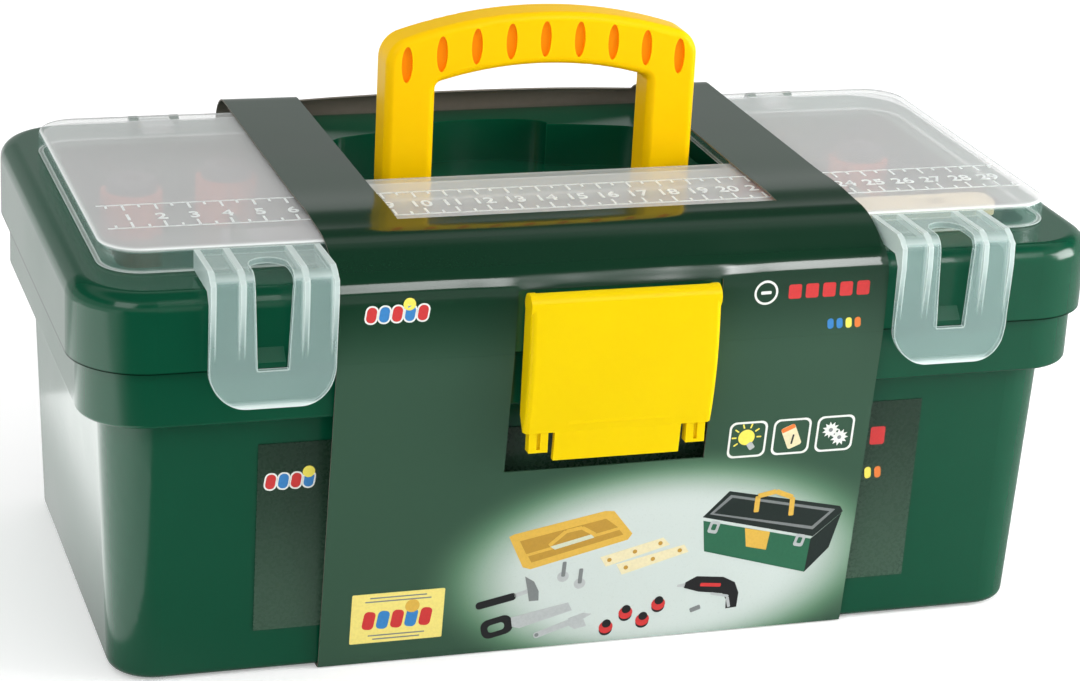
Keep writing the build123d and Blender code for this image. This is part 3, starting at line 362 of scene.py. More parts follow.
def printedCard(name, look):
    # Varnished card: a dark green print, a pale glow low on the front that fades by its distance from an
    # ellipse's middle, sqrt(across^2 + up^2), and bare board on the inside and on the cut edges.
    material, tree, shader = newMaterial(name)
    point = objectPoint(tree)
    x, y, z = splitPoint(tree, point)
    across = work(tree, "DIVIDE", minus(tree, x, look["glowX"]), look["glowWide"])
    up = work(tree, "DIVIDE", minus(tree, z, look["glowZ"]), look["glowHigh"])
    away = work(tree, "SQRT", squares(tree, across, up))
    glow = times(tree, softStep(tree, away, 0.45, 1.10, 1.0, 0.0), softStep(tree, y, *look["frontY"]))
    shade = softStep(tree, z, look["foldZ"], look["foldZ"] - look["shadeDepth"])
    ground = blend(tree, shade, look["dark"], look["mid"])
    ring = blend(tree, softStep(tree, glow, 0.0, 0.5), ground, look["ring"])
    lit = blend(tree, softStep(tree, glow, 0.25, 1.0), ring, look["glow"])
    dots = softStep(tree, noise(tree, point, 1800.0, 1.0), 0.55, 0.8, 0.0, 0.06)
    printed = blend(tree, dots, lit, look["mid"])
    fibre = noise(tree, point, 420.0, 5.0)
    board = blend(tree, fibre, look["board"], look["boardTint"])
    normal = place(tree, "TexCoord").outputs["Normal"]
    fromCentre = place(tree, "VectorMath", {0: point, 1: look["centre"]}, operation="SUBTRACT").outputs[0]
    inside = softStep(tree, dot(tree, normal, fromCentre), 0.002, -0.002)
    cut = softStep(tree, work(tree, "ABSOLUTE", splitPoint(tree, normal)[0]), 0.80, 0.95)
    bare = work(tree, "MAXIMUM", inside, cut)
    rough = plus(tree, times(tree, bare, look["boardRough"]), look["rough"])
    height = plus(tree, noise(tree, point, 26.0, 1.0), times(tree, fibre, 0.02))
    dress(tree, shader, blend(tree, bare, printed, board), rough, height, look["wave"], 2 * mm)
    shader.inputs["IOR"].default_value = 1.5
    return material


cardLook = {
    "dark": (0.005, 0.032, 0.015), "mid": (0.034, 0.083, 0.051), "ring": (0.13, 0.26, 0.16),
    "glow": (0.58, 0.65, 0.62), "board": (0.16, 0.145, 0.115), "boardTint": (0.20, 0.18, 0.15),
    "centre": (0.0, 0.0, 0.07), "glowX": 0.0235, "glowZ": 0.0270, "glowWide": 0.078, "glowHigh": 0.0405,
    "frontY": (-0.070, -0.074), "foldZ": 0.128, "shadeDepth": 0.030, "rough": 0.11, "boardRough": 0.5,
    "wave": 0.05,
}


def labelFilm(name, look):
    # The film label under the sleeve: a dark grey-green print that pales towards its foot.
    material, tree, shader = newMaterial(name)
    point = objectPoint(tree)
    fade = softStep(tree, splitPoint(tree, point)[2], look["topZ"], look["footZ"])
    grain = noise(tree, point, 900.0)
    colour = blend(tree, fade, look["dark"], look["mid"])
    mottled = blend(tree, times(tree, grain, 0.15), colour, look["mid"])
    dress(tree, shader, mottled, softStep(tree, grain, 0.3, 0.7, *look["rough"]), grain, 0.05, 0.5 * mm)
    return material


labelLook = {
    "dark": (0.012, 0.035, 0.020), "mid": (0.040, 0.085, 0.055), "rough": (0.24, 0.32),
    "topZ": 0.077, "footZ": 0.015,
}


def pinSteel(name, look):
    # Drawn steel wire: fine rings round the pin, from noise stretched across it.
    material, tree, shader = newMaterial(name)
    stretched = place(tree, "Mapping", {"Vector": objectPoint(tree), "Scale": look["stretch"]})
    rings = noise(tree, stretched.outputs[0], 500.0)
    dress(tree, shader, blend(tree, rings, look["dark"], look["pale"]),
          softStep(tree, rings, 0.3, 0.7, *look["rough"]))
    shader.inputs["Metallic"].default_value = 1.0
    return material


steelLook = {
    "dark": (0.45, 0.46, 0.48), "pale": (0.62, 0.63, 0.64), "rough": (0.22, 0.38),
    "stretch": (12.0, 1.0, 1.0),
}

cardFinish = printedCard("printedCard", cardLook)
pins = [f"{part}_hinge_pin_{side}" for part in ("lid", "cover") for side in ("left", "right")]
finishes = [
    (mouldedPlastic("greenPlastic", greenLook), ["base_box", "lid"]),
    (mouldedPlastic("yellowPlastic", latchLook), ["front_latch"]),
    (handleYellow("handleYellow", yellowLook, gripRecessShade), ["carry_handle"]),
    (clearPlastic("clearCoverPlastic", coverLook), ["clear_cover"]),
    (clearPlastic("clearClipPlastic", clipLook, clipRibHighlights), ["cover_clip_left", "cover_clip_right"]),
    (mouldedPlastic("trayPlastic", trayLook), ["lift_out_tray"]),
    (mouldedPlastic("orangePlastic", orangeLook), ["spool_nuts"]),
    (mouldedPlastic("blackPlastic", blackLook), ["spool_nut_caps"]),
    (mouldedPlastic("greyPlastic", greyLook), ["toy_screws"]),
    (mouldedPlastic("creamPlastic", creamLook), ["connector_bar_lid", "connector_bar_tray"]),
    (cardFinish, ["sleeve_top_panel", "sleeve_lid_front", "sleeve_lid_back", "sleeve_base_wrap"]),
    (labelFilm("labelFilm", labelLook), ["front_label"]),
    (pinSteel("pinSteel", steelLook), pins),
]
for material, names in finishes:
    for nodeName in names:
        nodes[nodeName].data.materials.clear()
        nodes[nodeName].data.materials.append(material)
print("materials:", len(finishes))


# Camera: the photograph's place and angle, from its focal length and its turn about three axes

photoCamera = {
    "imageWidth": 1080, "focalPixels": 3096.4, "sensorWidth": 36.0,
    "place": (-0.2962, -0.9059, 0.4304), "yaw": 18.37, "pitch": 20.47, "roll": 3.09,
}


def turnMatrix(*axes):
    # A turn whose columns are the given x, y and z directions.
    return Matrix([list(row) for row in np.column_stack(axes)]).to_4x4()


def makeCamera(view):
    yaw, pitch, roll = (math.radians(view[key]) for key in ("yaw", "pitch", "roll"))
    forward = np.array([math.sin(yaw) * math.cos(pitch), math.cos(yaw) * math.cos(pitch), -math.sin(pitch)])
    level = np.array([math.cos(yaw), -math.sin(yaw), 0.0])
    above = np.cross(level, forward)
    right = math.cos(roll) * level + math.sin(roll) * above
    up = np.cross(right, forward)
    camera = newObject("photoCamera", bpy.data.cameras.new("photoCamera"))
    camera.data.sensor_width = view["sensorWidth"]
    camera.data.lens = view["sensorWidth"] * view["focalPixels"] / view["imageWidth"]
    camera.data.clip_start = 0.05
    camera.matrix_world = Matrix.Translation(view["place"]) @ turnMatrix(right, up, -forward)
    bpy.context.scene.camera = camera


makeCamera(photoCamera)


# Floor, world and lamps

floorLook = {
    "size": 12.0, "colour": (0.93, 0.93, 0.93), "lift": 0.28, "farSheen": 0.02, "nearSheen": 0.20,
    "rightSheen": 0.55, "leftSheen": 0.98, "frontFade": (-0.36, -0.22), "rightFade": (0.02, 0.26),
    "leftSlope": 0.8, "leftFade": (0.02, 0.22),
}


def makeFloor(look):
    # Pale floor: reflections see it dark far in front, lighter near the box and on the right, white behind it
    # on the left.
    half = look["size"] / 2
    corners = [(-half, -half, 0), (half, -half, 0), (half, half, 0), (-half, half, 0)]
    material, tree = emptyMaterial("floor")
    path = place(tree, "LightPath").outputs
    plain = place(tree, "BsdfDiffuse", {"Color": look["colour"] + (1,)})
    lift = place(tree, "Emission", {"Strength": times(tree, path["Is Camera Ray"], look["lift"])})
    lifted = place(tree, "AddShader", {0: plain.outputs[0], 1: lift.outputs[0]})
    x, y, z = splitPoint(tree, objectPoint(tree))
    front = softStep(tree, y, *look["frontFade"], look["farSheen"], look["nearSheen"])
    ahead = between(tree, softStep(tree, x, *look["rightFade"]), front, look["rightSheen"])
    behindLeft = softStep(tree, minus(tree, times(tree, y, look["leftSlope"]), x), *look["leftFade"])
    glow = place(tree, "Emission", {"Strength": between(tree, behindLeft, ahead, look["leftSheen"])})
    shown = place(tree, "MixShader", {0: path["Is Glossy Ray"], 1: lifted.outputs[0], 2: glow.outputs[0]})
    place(tree, "OutputMaterial", {"Surface": shown.outputs[0]})
    mesh = bpy.data.meshes.new("floor")
    mesh.from_pydata(corners, [], [(0, 1, 2, 3)])
    mesh.materials.append(material)
    floor = newObject("floor", mesh)


worldLook = {
    "ambient": 0.80, "horizonSheen": 0.52, "lowSheen": 0.05, "horizonUp": (0.325, 0.385),
    "bandSheen": 0.38, "bandStart": (0.60, 0.72), "bandEnd": (0.78, 0.90),
}


def makeWorld(look):
    # White where the camera or a clear part looks through it, even light on the box, and for reflections a
    # sky that is pale at the horizon and dim above, with one lighter band.
    world = bpy.data.worlds.new("studio")
    bpy.context.scene.world = world
    world.use_nodes = True
    tree = world.node_tree
    tree.nodes.clear()
    path = place(tree, "LightPath").outputs
    up = splitPoint(tree, place(tree, "TexCoord").outputs["Generated"])[2]
    low = softStep(tree, up, *look["horizonUp"], look["horizonSheen"], look["lowSheen"])
    band = minus(tree, softStep(tree, up, *look["bandStart"]), softStep(tree, up, *look["bandEnd"]))
    sheen = plus(tree, low, times(tree, band, look["bandSheen"]))
    even, mirrored, white = (
        place(tree, "Background", {"Color": (1, 1, 1, 1), "Strength": strength}).outputs[0]
        for strength in (look["ambient"], sheen, 1.0))
    lit = place(tree, "MixShader", {0: path["Is Glossy Ray"], 1: even, 2: mirrored})
    seen = work(tree, "MAXIMUM", path["Is Camera Ray"], path["Is Transmission Ray"])
    shown = place(tree, "MixShader", {0: seen, 1: lit.outputs[0], 2: white})
    place(tree, "OutputWorld", {"Surface": shown.outputs[0]})


def softbox(name, spot, target, size, radiance, mirrorOnly=False):
    # A rectangular lamp facing its target, its watts following from the radiance and the area. One that is
    # only mirrored adds no light to dull surfaces.
    lamp = bpy.data.lights.new(name, "AREA")
    lamp.shape = "RECTANGLE"
    lamp.size, lamp.size_y = size
    lamp.energy = radiance * math.pi * size[0] * size[1]
    box = newObject(name, lamp)
    away = np.array(spot, float) - np.array(target, float)
    away /= np.linalg.norm(away)
    side = np.cross((0.0, 0.0, 1.0), away)
    side /= np.linalg.norm(side)
    box.matrix_world = Matrix.Translation(spot) @ turnMatrix(side, np.cross(away, side), away)
    box.visible_camera = False
    box.visible_diffuse = not mirrorOnly


boxMiddle = (0.0, 0.0, 0.09)
lamps = [
    ("mirroredLeft", (0.375, -1.20, 1.20), (0.375, -0.07, 0.12), (0.17, 0.85), 8.5, True),
    ("mirroredCorner", (0.615, -1.20, 1.20), (0.615, -0.07, 0.12), (0.05, 1.1), 10.0, True),
    ("mirroredRight", (0.695, -1.23, 1.17), (0.695, -0.07, 0.12), (0.19, 0.85), 13.0, True),
    ("leftKey", (-1.0, -1.1, 1.0), boxMiddle, (0.8, 0.8), 2.6),
    ("rightFill", (1.3, -0.7, 0.6), boxMiddle, (0.8, 0.8), 1.6),
    ("rightNear", (0.62, -0.27, 0.25), (0.14, -0.09, 0.06), (0.35, 0.35), 9.0),
    ("lowPanel", (-0.395, -0.035, 0.001), (-0.394, -0.035, 0.5), (0.39, 0.455), 1.2),
]
makeFloor(floorLook)
makeWorld(worldLook)
for lampValues in lamps:
    softbox(*lampValues)
bpy.context.scene.view_settings.view_transform = "Standard"
print("camera, floor and lamps")


# Surfaces from loops

def newPiece(name, points, faces, materials, indices=None, smooth=False):
    mesh = bpy.data.meshes.new(name)
    mesh.from_pydata(points.tolist(), [], faces)
    for material in materials:
        mesh.materials.append(material)
    if indices is not None:
        mesh.polygons.foreach_set("material_index", np.array(indices, np.int32))
    mesh.polygons.foreach_set("use_smooth", np.full(len(mesh.polygons), smooth))
    mesh.update()
    if smooth:
        mesh.set_sharp_from_angle(angle=math.radians(50))
    return newObject(name, mesh)


def fasten(piece, body):
    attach(piece, body)


# Card sleeve: one strip of card wrapped round the closed box, parted where the cover, lid and base part

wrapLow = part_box("sleeve_base_wrap")[0]
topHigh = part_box("sleeve_top_panel")[1]
card = {
    "thickness": 0.0005, "half": topHigh.x, "foldY": -0.0689, "frontCornerZ": 0.1284, "footY": 0.0752,
    "foldRadius": 0.030, "shoulderRadius": 0.009, "seamRadius": 0.120, "footRadius": 0.0015,
    "backRadius": 0.013, "backCutY": 0.06695, "frontCutY": -0.0711, "windowHalf": 0.0610,
    "windowFrontY": -0.0560, "latchHalf": 0.0322, "latchTopZ": 0.1250, "latchFootZ": 0.0647,
    "backEdgeZ": 0.1342, "backBow": 0.0024, "seamZ": 0.1048, "slopeZ": 0.12, "frontRunY": -0.070,
    "rowStep": 0.0018, "columnStep": 0.003, "pathStep": 0.0005, "cutGap": 0.00001,
}
cardBow = {
    "fromZ": 0.090, "rise": 0.020, "ripple": 0.00022, "across": 46, "shift": 1.0, "along": 38,
    "hump": 0.0006, "humpY": -0.044, "humpWide": 0.012,
    "corner": 0.0005, "cornerX": 0.036, "cornerWide": 0.011, "cornerZ": 0.1235, "cornerHigh": 0.007,
}


def roundedPath(corners, radii, bend=14):
    # Straight runs from corner to corner, each inner corner rounded by an arc that is tangent to both its
    # runs: place(a) = start + radius * (sin a * inward + (1 - cos a) * side), a from 0 to the turn.
    spots = np.array(corners)
    runs = [spots[:1]]
    for before, corner, after, radius in zip(spots[:-2], spots[1:-1], spots[2:], radii):
        inward = (corner - before) / np.linalg.norm(corner - before)
        onward = (after - corner) / np.linalg.norm(after - corner)
        turn = math.acos(inward @ onward)
        side = onward - inward * (inward @ onward)
        side /= np.linalg.norm(side)
        start = corner - inward * radius * math.tan(turn / 2)
        angles = np.linspace(0, turn, bend)[:, None]
        runs.append(start + radius * (np.sin(angles) * inward + (1 - np.cos(angles)) * side))
    runs.append(spots[-1:])
    return np.vstack(runs)


def sleevePath(look):
    # The card's middle line in y and z, from the cover's back over the front, under the base and up the back.
    topZ = topHigh.z - look["thickness"] / 2
    frontY = wrapLow.y + look["thickness"] / 2
    underZ = look["thickness"] / 2
    corners = [(look["backCutY"], topZ), (look["foldY"], topZ), (frontY, look["frontCornerZ"]),
               (frontY, look["seamZ"]), (-look["footY"], underZ), (look["footY"], underZ),
               (-frontY, look["seamZ"]), (-frontY, topZ), (look["backCutY"], topZ)]
    radii = [look[key + "Radius"] for key in ("fold", "shoulder", "seam", "foot", "foot", "seam", "back")]
    path = roundedPath(corners, radii)
    steps = np.linalg.norm(np.diff(path, axis=0), axis=1)
    length = np.concatenate([[0], np.cumsum(steps)])
    dense = np.concatenate([length, np.arange(0, length[-1], look["pathStep"])])
    dense = np.unique(np.round(dense, 7))
    y, z = np.interp(dense, length, path[:, 0]), np.interp(dense, length, path[:, 1])
    along = np.column_stack([np.gradient(y, dense), np.gradient(z, dense)])
    along /= np.linalg.norm(along, axis=1)[:, None]
    return dense, y, z, along[:, 1], -along[:, 0]


pathS, pathY, pathZ, normalY, normalZ = sleevePath(card)
frontRun = (pathY < card["frontRunY"]) & (pathS < pathS[-1] / 2)
slopeRun = frontRun & (pathZ > card["slopeZ"])
backRun = (pathY > card["footY"]) & (pathS > pathS[-1] / 2)


def frontS(z):
    # The length along the path at a height on the sleeve's front.
    return np.interp(z, pathZ[frontRun][::-1], pathS[frontRun][::-1])


def backS(z):
    return np.interp(z, pathZ[backRun], pathS[backRun])


def cardWave(x, s, y, z):
    # The card bows outward, but not low on the front: a * (1 + sin(k x + 1) * cos(m r)) / 2, r the way to its
    # nearer end, and humps b * exp(-u * u) before the fold and beside the latch's window.
    bow = cardBow
    share = np.clip((z - bow["fromZ"]) / bow["rise"], 0, 1)
    way = np.minimum(s, pathS[-1] - s)
    wave = 1 + np.sin(bow["across"] * x + bow["shift"]) * np.cos(bow["along"] * way)
    ripple = bow["ripple"] * share * share * (3 - 2 * share) * wave / 2
    hump = bow["hump"] * np.exp(-((y - bow["humpY"]) / bow["humpWide"]) ** 2) * (z > card["slopeZ"])
    besideX = (np.abs(x) - bow["cornerX"]) / bow["cornerWide"]
    besideZ = (z - bow["cornerZ"]) / bow["cornerHigh"]
    corner = bow["corner"] * np.exp(-besideX ** 2 - besideZ ** 2)
    return ripple + np.where(s < pathS[-1] / 2, 1.0, 0.0) * (hump + corner)


def cardPoint(x, s, out):
    # A point of the card: its place on the path, moved out along the path's normal by the wave and by out.
    y, z = np.interp(s, pathS, pathY), np.interp(s, pathS, pathZ)
    shift = out + cardWave(x, s, y, z)
    outY, outZ = np.interp(s, pathS, normalY), np.interp(s, pathS, normalZ)
    return np.stack([x, y + shift * outY, z + shift * outZ], axis=-1)


def cardColumns(openings):
    # Columns spread evenly across the card, with one more at each side of every opening.
    edges = [side * half for interval, half in openings for side in (-1, 1)]
    even = np.linspace(-card["half"], card["half"], int(2 * card["half"] / card["columnStep"]))
    return np.unique(np.round(np.concatenate([even, edges]), 6))


def cardShell(name, node, body, lines, openings):
    # A closed shell of card between lines across the path: two skins half the thickness off the middle, rows
    # spread evenly from line to line, the cells of each opening left out, and a rim round every edge.
    columns = cardColumns(openings)
    stations = [np.broadcast_to(line, columns.shape) for line in lines]
    rows, owner = [], []
    for number, (start, end) in enumerate(zip(stations[:-1], stations[1:])):
        steps = max(2, math.ceil(np.max(end - start) / card["rowStep"]))
        rows.append(start + np.linspace(0, 1, steps, endpoint=False)[:, None] * (end - start))
        owner += [number] * steps
    s = np.vstack(rows + [stations[-1][None]])
    x = np.broadcast_to(columns, s.shape)
    keep = np.ones((s.shape[0] - 1, s.shape[1] - 1), bool)
    middles = (columns[:-1] + columns[1:]) / 2
    for interval, half in openings:
        keep &= ~((np.array(owner) == interval)[:, None] & (np.abs(middles) < half)[None])
    outer, inner = (cardPoint(x, s, side * card["thickness"] / 2).reshape(-1, 3) for side in (1, -1))
    number = np.arange(s.size).reshape(s.shape)
    quarters = (number[:-1, :-1], number[:-1, 1:], number[1:, 1:], number[1:, :-1])
    a, b, c, d = (grid[keep] for grid in quarters)
    skins = [np.column_stack([a, d, c, b]), np.column_stack([a, b, c, d]) + s.size]
    wide = np.pad(keep, 1)
    before, after = wide[:-1, 1:-1], wide[1:, 1:-1]
    left, right = wide[1:-1, :-1], wide[1:-1, 1:]
    rims = []
    for first, second, masks in (
            (number[:, :-1], number[:, 1:], (~before & after, before & ~after)),
            (number[:-1, :], number[1:, :], (left & ~right, ~left & right))):
        for mask, order in zip(masks, ((0, 1, 3, 2), (0, 2, 3, 1))):
            ends = [first[mask], second[mask], first[mask] + s.size, second[mask] + s.size]
            rims.append(np.column_stack([ends[k] for k in order]))
    used, faces = np.unique(np.vstack(skins + rims), return_inverse=True)
    points = np.vstack([outer, inner])[used]
    piece = newPiece(name, points, faces.reshape(-1, 4).tolist(), [cardFinish], smooth=True)
    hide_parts(node)
    fasten(piece, body)


def addSleeve():
    gap = card["cutGap"]
    windowS = card["backCutY"] - card["windowFrontY"]
    cutS = frontS(np.interp(-card["frontCutY"], -pathY[slopeRun], pathZ[slopeRun]))
    seamS, backSeamS = frontS(card["seamZ"]), backS(card["seamZ"])
    cardShell("sleeveTopPanel", "sleeve_top_panel", "cover", [gap, windowS, cutS - gap],
              [(0, card["windowHalf"])])
    cardShell("sleeveLidFront", "sleeve_lid_front", "lid",
              [cutS + gap, frontS(card["latchTopZ"]), seamS - gap], [(1, card["latchHalf"])])
    cardShell("sleeveBaseWrap", "sleeve_base_wrap", "base",
              [seamS + gap, frontS(card["latchFootZ"]), backSeamS - gap], [(0, card["latchHalf"])])
    window = [(1, card["windowHalf"])]
    across = np.minimum(np.abs(cardColumns(window)) / card["windowHalf"], 1.0)
    bowed = backS(card["backEdgeZ"] + card["backBow"] * (1 - across ** 2))
    cardShell("sleeveLidBack", "sleeve_lid_back", "lid", [backSeamS + gap, bowed, pathS[-1] - gap], window)


addSleeve()
print("sleeve")


# Print and ruler: flat shapes in millimetres, laid on a face

def flatInk(name, colour, rough=0.35):
    # Printing ink or plain film on the card: its colour with a fine mottle.
    material, tree, shader = newMaterial(name)
    mottle = noise(tree, objectPoint(tree), 1200.0)
    darker = tuple(0.94 * c for c in colour)
    dress(tree, shader, blend(tree, softStep(tree, mottle, 0.35, 0.7), colour, darker),
          softStep(tree, mottle, 0.3, 0.7, rough, rough + 0.08))
    return material


inks = {name: flatInk("ink" + name.capitalize(), colour) for name, colour in {
    "white": (0.80, 0.82, 0.78), "orange": (0.80, 0.20, 0.03),
    "red": (0.62, 0.03, 0.03), "blue": (0.03, 0.22, 0.55), "black": (0.015, 0.016, 0.017),
    "grey": (0.20, 0.22, 0.22), "silver": (0.45, 0.48, 0.48), "cream": (0.80, 0.72, 0.45),
    "green": (0.02, 0.14, 0.07), "lemon": (0.90, 0.78, 0.10), "tray": (0.72, 0.44, 0.06),
    "trayDeep": (0.50, 0.28, 0.03), "pale": (0.62, 0.66, 0.50), "night": (0.014, 0.026, 0.022),
    "sticker": (0.87, 0.74, 0.20),
}.items()}
inkNames = list(inks)
inkThickness = 0.03
inkLift = 0.00001


def ringLoop(centre, radius, count=28):
    # Points at even turns round a circle.
    turns = np.linspace(0, 2 * np.pi, count, endpoint=False)
    return np.column_stack([centre[0] + radius * np.cos(turns), centre[1] + radius * np.sin(turns)])


def turnLoop(points, degrees):
    a = math.radians(degrees)
    return points @ np.array([[math.cos(a), math.sin(a)], [-math.sin(a), math.cos(a)]])


def roundedLoop(centre, width, height, radius, turn=0.0, corner=6):
    # A rounded rectangle: a quarter turn of points round each corner's centre, then turned about the middle.
    quarter = np.linspace(0, np.pi / 2, corner)
    angles = np.concatenate([quarter + k * np.pi / 2 for k in range(4)])
    across = np.repeat([1, -1, -1, 1], corner) * (width / 2 - radius)
    along = np.repeat([1, 1, -1, -1], corner) * (height / 2 - radius)
    local = np.column_stack([across + radius * np.cos(angles), along + radius * np.sin(angles)])
    return turnLoop(local, turn) + np.array(centre)


def signedArea(loop):
    # Half the sum of x * next z - next x * z: positive where the loop runs counter-clockwise.
    ahead = np.roll(loop, -1, axis=0)
    return 0.5 * float(np.sum(loop[:, 0] * ahead[:, 1] - ahead[:, 0] * loop[:, 1]))


class InkLayer:
    # Flat shapes on one printed face, each a thin prism: a filled loop, or a band between two loops.

    def __init__(self):
        self.points, self.faces, self.indices, self.count = [], [], [], 0

    def add(self, ink, outer, inner=None, level=0):
        loops = [np.asarray(loop, float) for loop in ([outer] if inner is None else [outer, inner])]
        loops = [loop if signedArea(loop) > 0 else loop[::-1] for loop in loops]
        size = len(loops[0])
        low, high = 0.0, inkThickness * (1 + level)
        stack = [(loops[0], low), (loops[0], high)] + [(loop, h) for loop in loops[1:] for h in (high, low)]
        self.points.append(np.vstack([np.column_stack([loop, np.full(size, h)]) for loop, h in stack]))
        here = np.arange(size)
        after = np.roll(here, -1)
        rings = self.count + size * np.arange(len(stack))
        follow = list(zip(rings[:-1], rings[1:])) + ([(rings[-1], rings[0])] if inner is not None else [])
        added = [np.column_stack([a + here, a + after, b + after, b + here]).tolist() for a, b in follow]
        if inner is None:
            added.append([(rings[1] + here).tolist(), (rings[0] + here[::-1]).tolist()])
        self.faces += sum(added, [])
        self.indices += [inkNames.index(ink)] * sum(map(len, added))
        self.count += size * len(stack)

    def finish(self, name, face, body):
        points = face(np.vstack(self.points) * mm)
        fasten(newPiece(name, points, self.faces, list(inks.values()), self.indices), body)


labelLow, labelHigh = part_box("front_label")
baseSlope = {"run": 0.0033, "rise": 0.08635}


def sleeveFace(local):
    # The sleeve's front: x across, height, and thickness along the card's normal.
    return cardPoint(local[:, 0], frontS(local[:, 1]), card["thickness"] / 2 + inkLift + local[:, 2])


def labelFace(local):
    # The label on the base's sloping front: y = label's top edge + slope * (its height - z).
    y = labelLow.y + baseSlope["run"] / baseSlope["rise"] * (labelHigh.z - local[:, 1])
    return np.column_stack([local[:, 0], y - inkLift - local[:, 2], local[:, 1]])


ruler = {
    "zeroX": -149.3, "pitch": 10.0, "count": 29, "backY": -28.2, "frontY": -49.6, "lineWidth": 0.5,
    "longTick": 5.2, "shortTick": 2.6, "tickWidth": 0.75, "height": 0.12, "numberHeight": 5.3,
    "capShare": 0.72, "bolder": 0.0001, "numberY": -39.7, "sink": 0.02, "startX": -147.0, "endX": 147.5,
}


def addRulerLines(look, low, high):
    # Two lines with a tick at every half pitch, each a box between x, y and z limits.
    halfLine, halfTick = look["lineWidth"] / 2, look["tickWidth"] / 2
    bars = [(look["startX"], look["endX"], y - halfLine, y + halfLine)
            for y in (look["backY"], look["frontY"])]
    for half in range(1, 2 * look["count"] + 2):
        x = look["zeroX"] + look["pitch"] * half / 2
        reach = look["shortTick"] if half % 2 else look["longTick"]
        bars.append((x - halfTick, x + halfTick, look["backY"] - reach, look["backY"]))
        bars.append((x - halfTick, x + halfTick, look["frontY"], look["frontY"] + reach))
    spans = np.array(bars)
    corner = np.array([[x, y, z] for z in (0, 1) for x, y in ((0, 2), (1, 2), (1, 3), (0, 3))])
    x, y = spans[:, corner[:, 0]], spans[:, corner[:, 1]]
    z = np.broadcast_to(np.array([low, high])[corner[:, 2]], x.shape)
    points = np.stack([x, y, z], axis=2).reshape(-1, 3) * mm
    sides = np.array([[3, 2, 1, 0], [4, 5, 6, 7], [0, 1, 5, 4], [1, 2, 6, 5], [2, 3, 7, 6], [3, 0, 4, 7]])
    faces = (sides[None] + 8 * np.arange(len(spans))[:, None, None]).reshape(-1, 4)
    fasten(newPiece("rulerLines", points, faces.tolist(), [rulerWhite]), "cover")


def addRulerNumber(look, number, low, high):
    # One raised number, its curve made a mesh before it is moved to its place.
    curve = bpy.data.curves.new("number", "FONT")
    curve.body = str(number)
    curve.size = look["numberHeight"] * mm / look["capShare"]
    curve.align_x = "CENTER"
    curve.extrude = (high - low) / 2 * mm
    curve.offset = look["bolder"]
    text = bpy.data.objects.new("number", curve)
    mesh = bpy.data.meshes.new_from_object(text)
    bpy.data.objects.remove(text)
    spot = (look["zeroX"] + look["pitch"] * number, look["numberY"] - look["numberHeight"] / 2,
            (low + high) / 2)
    mesh.transform(Matrix.Translation([value * mm for value in spot]))
    mesh.name = f"rulerNumber{number:02d}"
    mesh.materials.clear()
    mesh.materials.append(rulerWhite)
    fasten(newObject(mesh.name, mesh), "cover")


def addRuler(look):
    # The moulded centimetre ruler on the cover's top: two lines, ticks and numbers, all slightly raised.
    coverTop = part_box("clear_cover")[1].z / mm
    low, high = coverTop - look["sink"], coverTop + look["height"]
    addRulerLines(look, low, high)
    for number in range(1, look["count"] + 1):
        addRulerNumber(look, number, low, high)


rulerWhite = flatInk("rulerWhite", (0.82, 0.86, 0.85), 0.4)
addRuler(ruler)
print("ruler")


frames = {"centres": (46.0, 60.6, 75.2), "z": 70.0, "size": 12.6, "corner": 2.2, "line": 0.7}


def addFrames(look):
    # Three small pictogram frames right of the latch: a lamp, a battery and two toothed wheels.
    layer = InkLayer()
    size, inset, z = look["size"], look["size"] - 2 * look["line"], look["z"]
    for x in look["centres"]:
        layer.add("white", roundedLoop((x, z), size, size, look["corner"]),
                  roundedLoop((x, z), inset, inset, look["corner"] - look["line"] / 2))
    first, second, third = look["centres"]
    lamp = np.array([first - 0.4, z + 0.8])
    layer.add("lemon", ringLoop(lamp, 2.7))
    layer.add("silver", roundedLoop((first + 1.3, z - 2.3), 2.6, 2.0, 0.5, -56), level=1)
    for degrees in range(0, 217, 36):
        a = math.radians(degrees)
        ray = lamp + 4.1 * np.array([math.cos(a), math.sin(a)])
        layer.add("lemon", roundedLoop(ray, 1.6, 0.5, 0.2, degrees))
    layer.add("cream", roundedLoop((second, z), 4.8, 8.0, 0.8, 24))
    layer.add("orange", roundedLoop((second - 1.3, z + 2.9), 4.6, 1.5, 0.4, 24), level=1)
    layer.add("black", roundedLoop((second + 0.5, z - 1.0), 0.6, 3.4, 0.25, -8), level=1)
    spikes = ringLoop((0, 0), 1.0, 22) * np.where(np.arange(22) % 2, 0.62, 1.0)[:, None]
    for wheel, radius in (((third - 1.5, z + 1.3), 2.9), ((third + 1.7, z - 1.5), 3.0)):
        layer.add("white", spikes * radius + wheel)
        layer.add("grey", ringLoop(wheel, 0.7, 12), level=1)
    layer.finish("pictogramFrames", sleeveFace, "base")


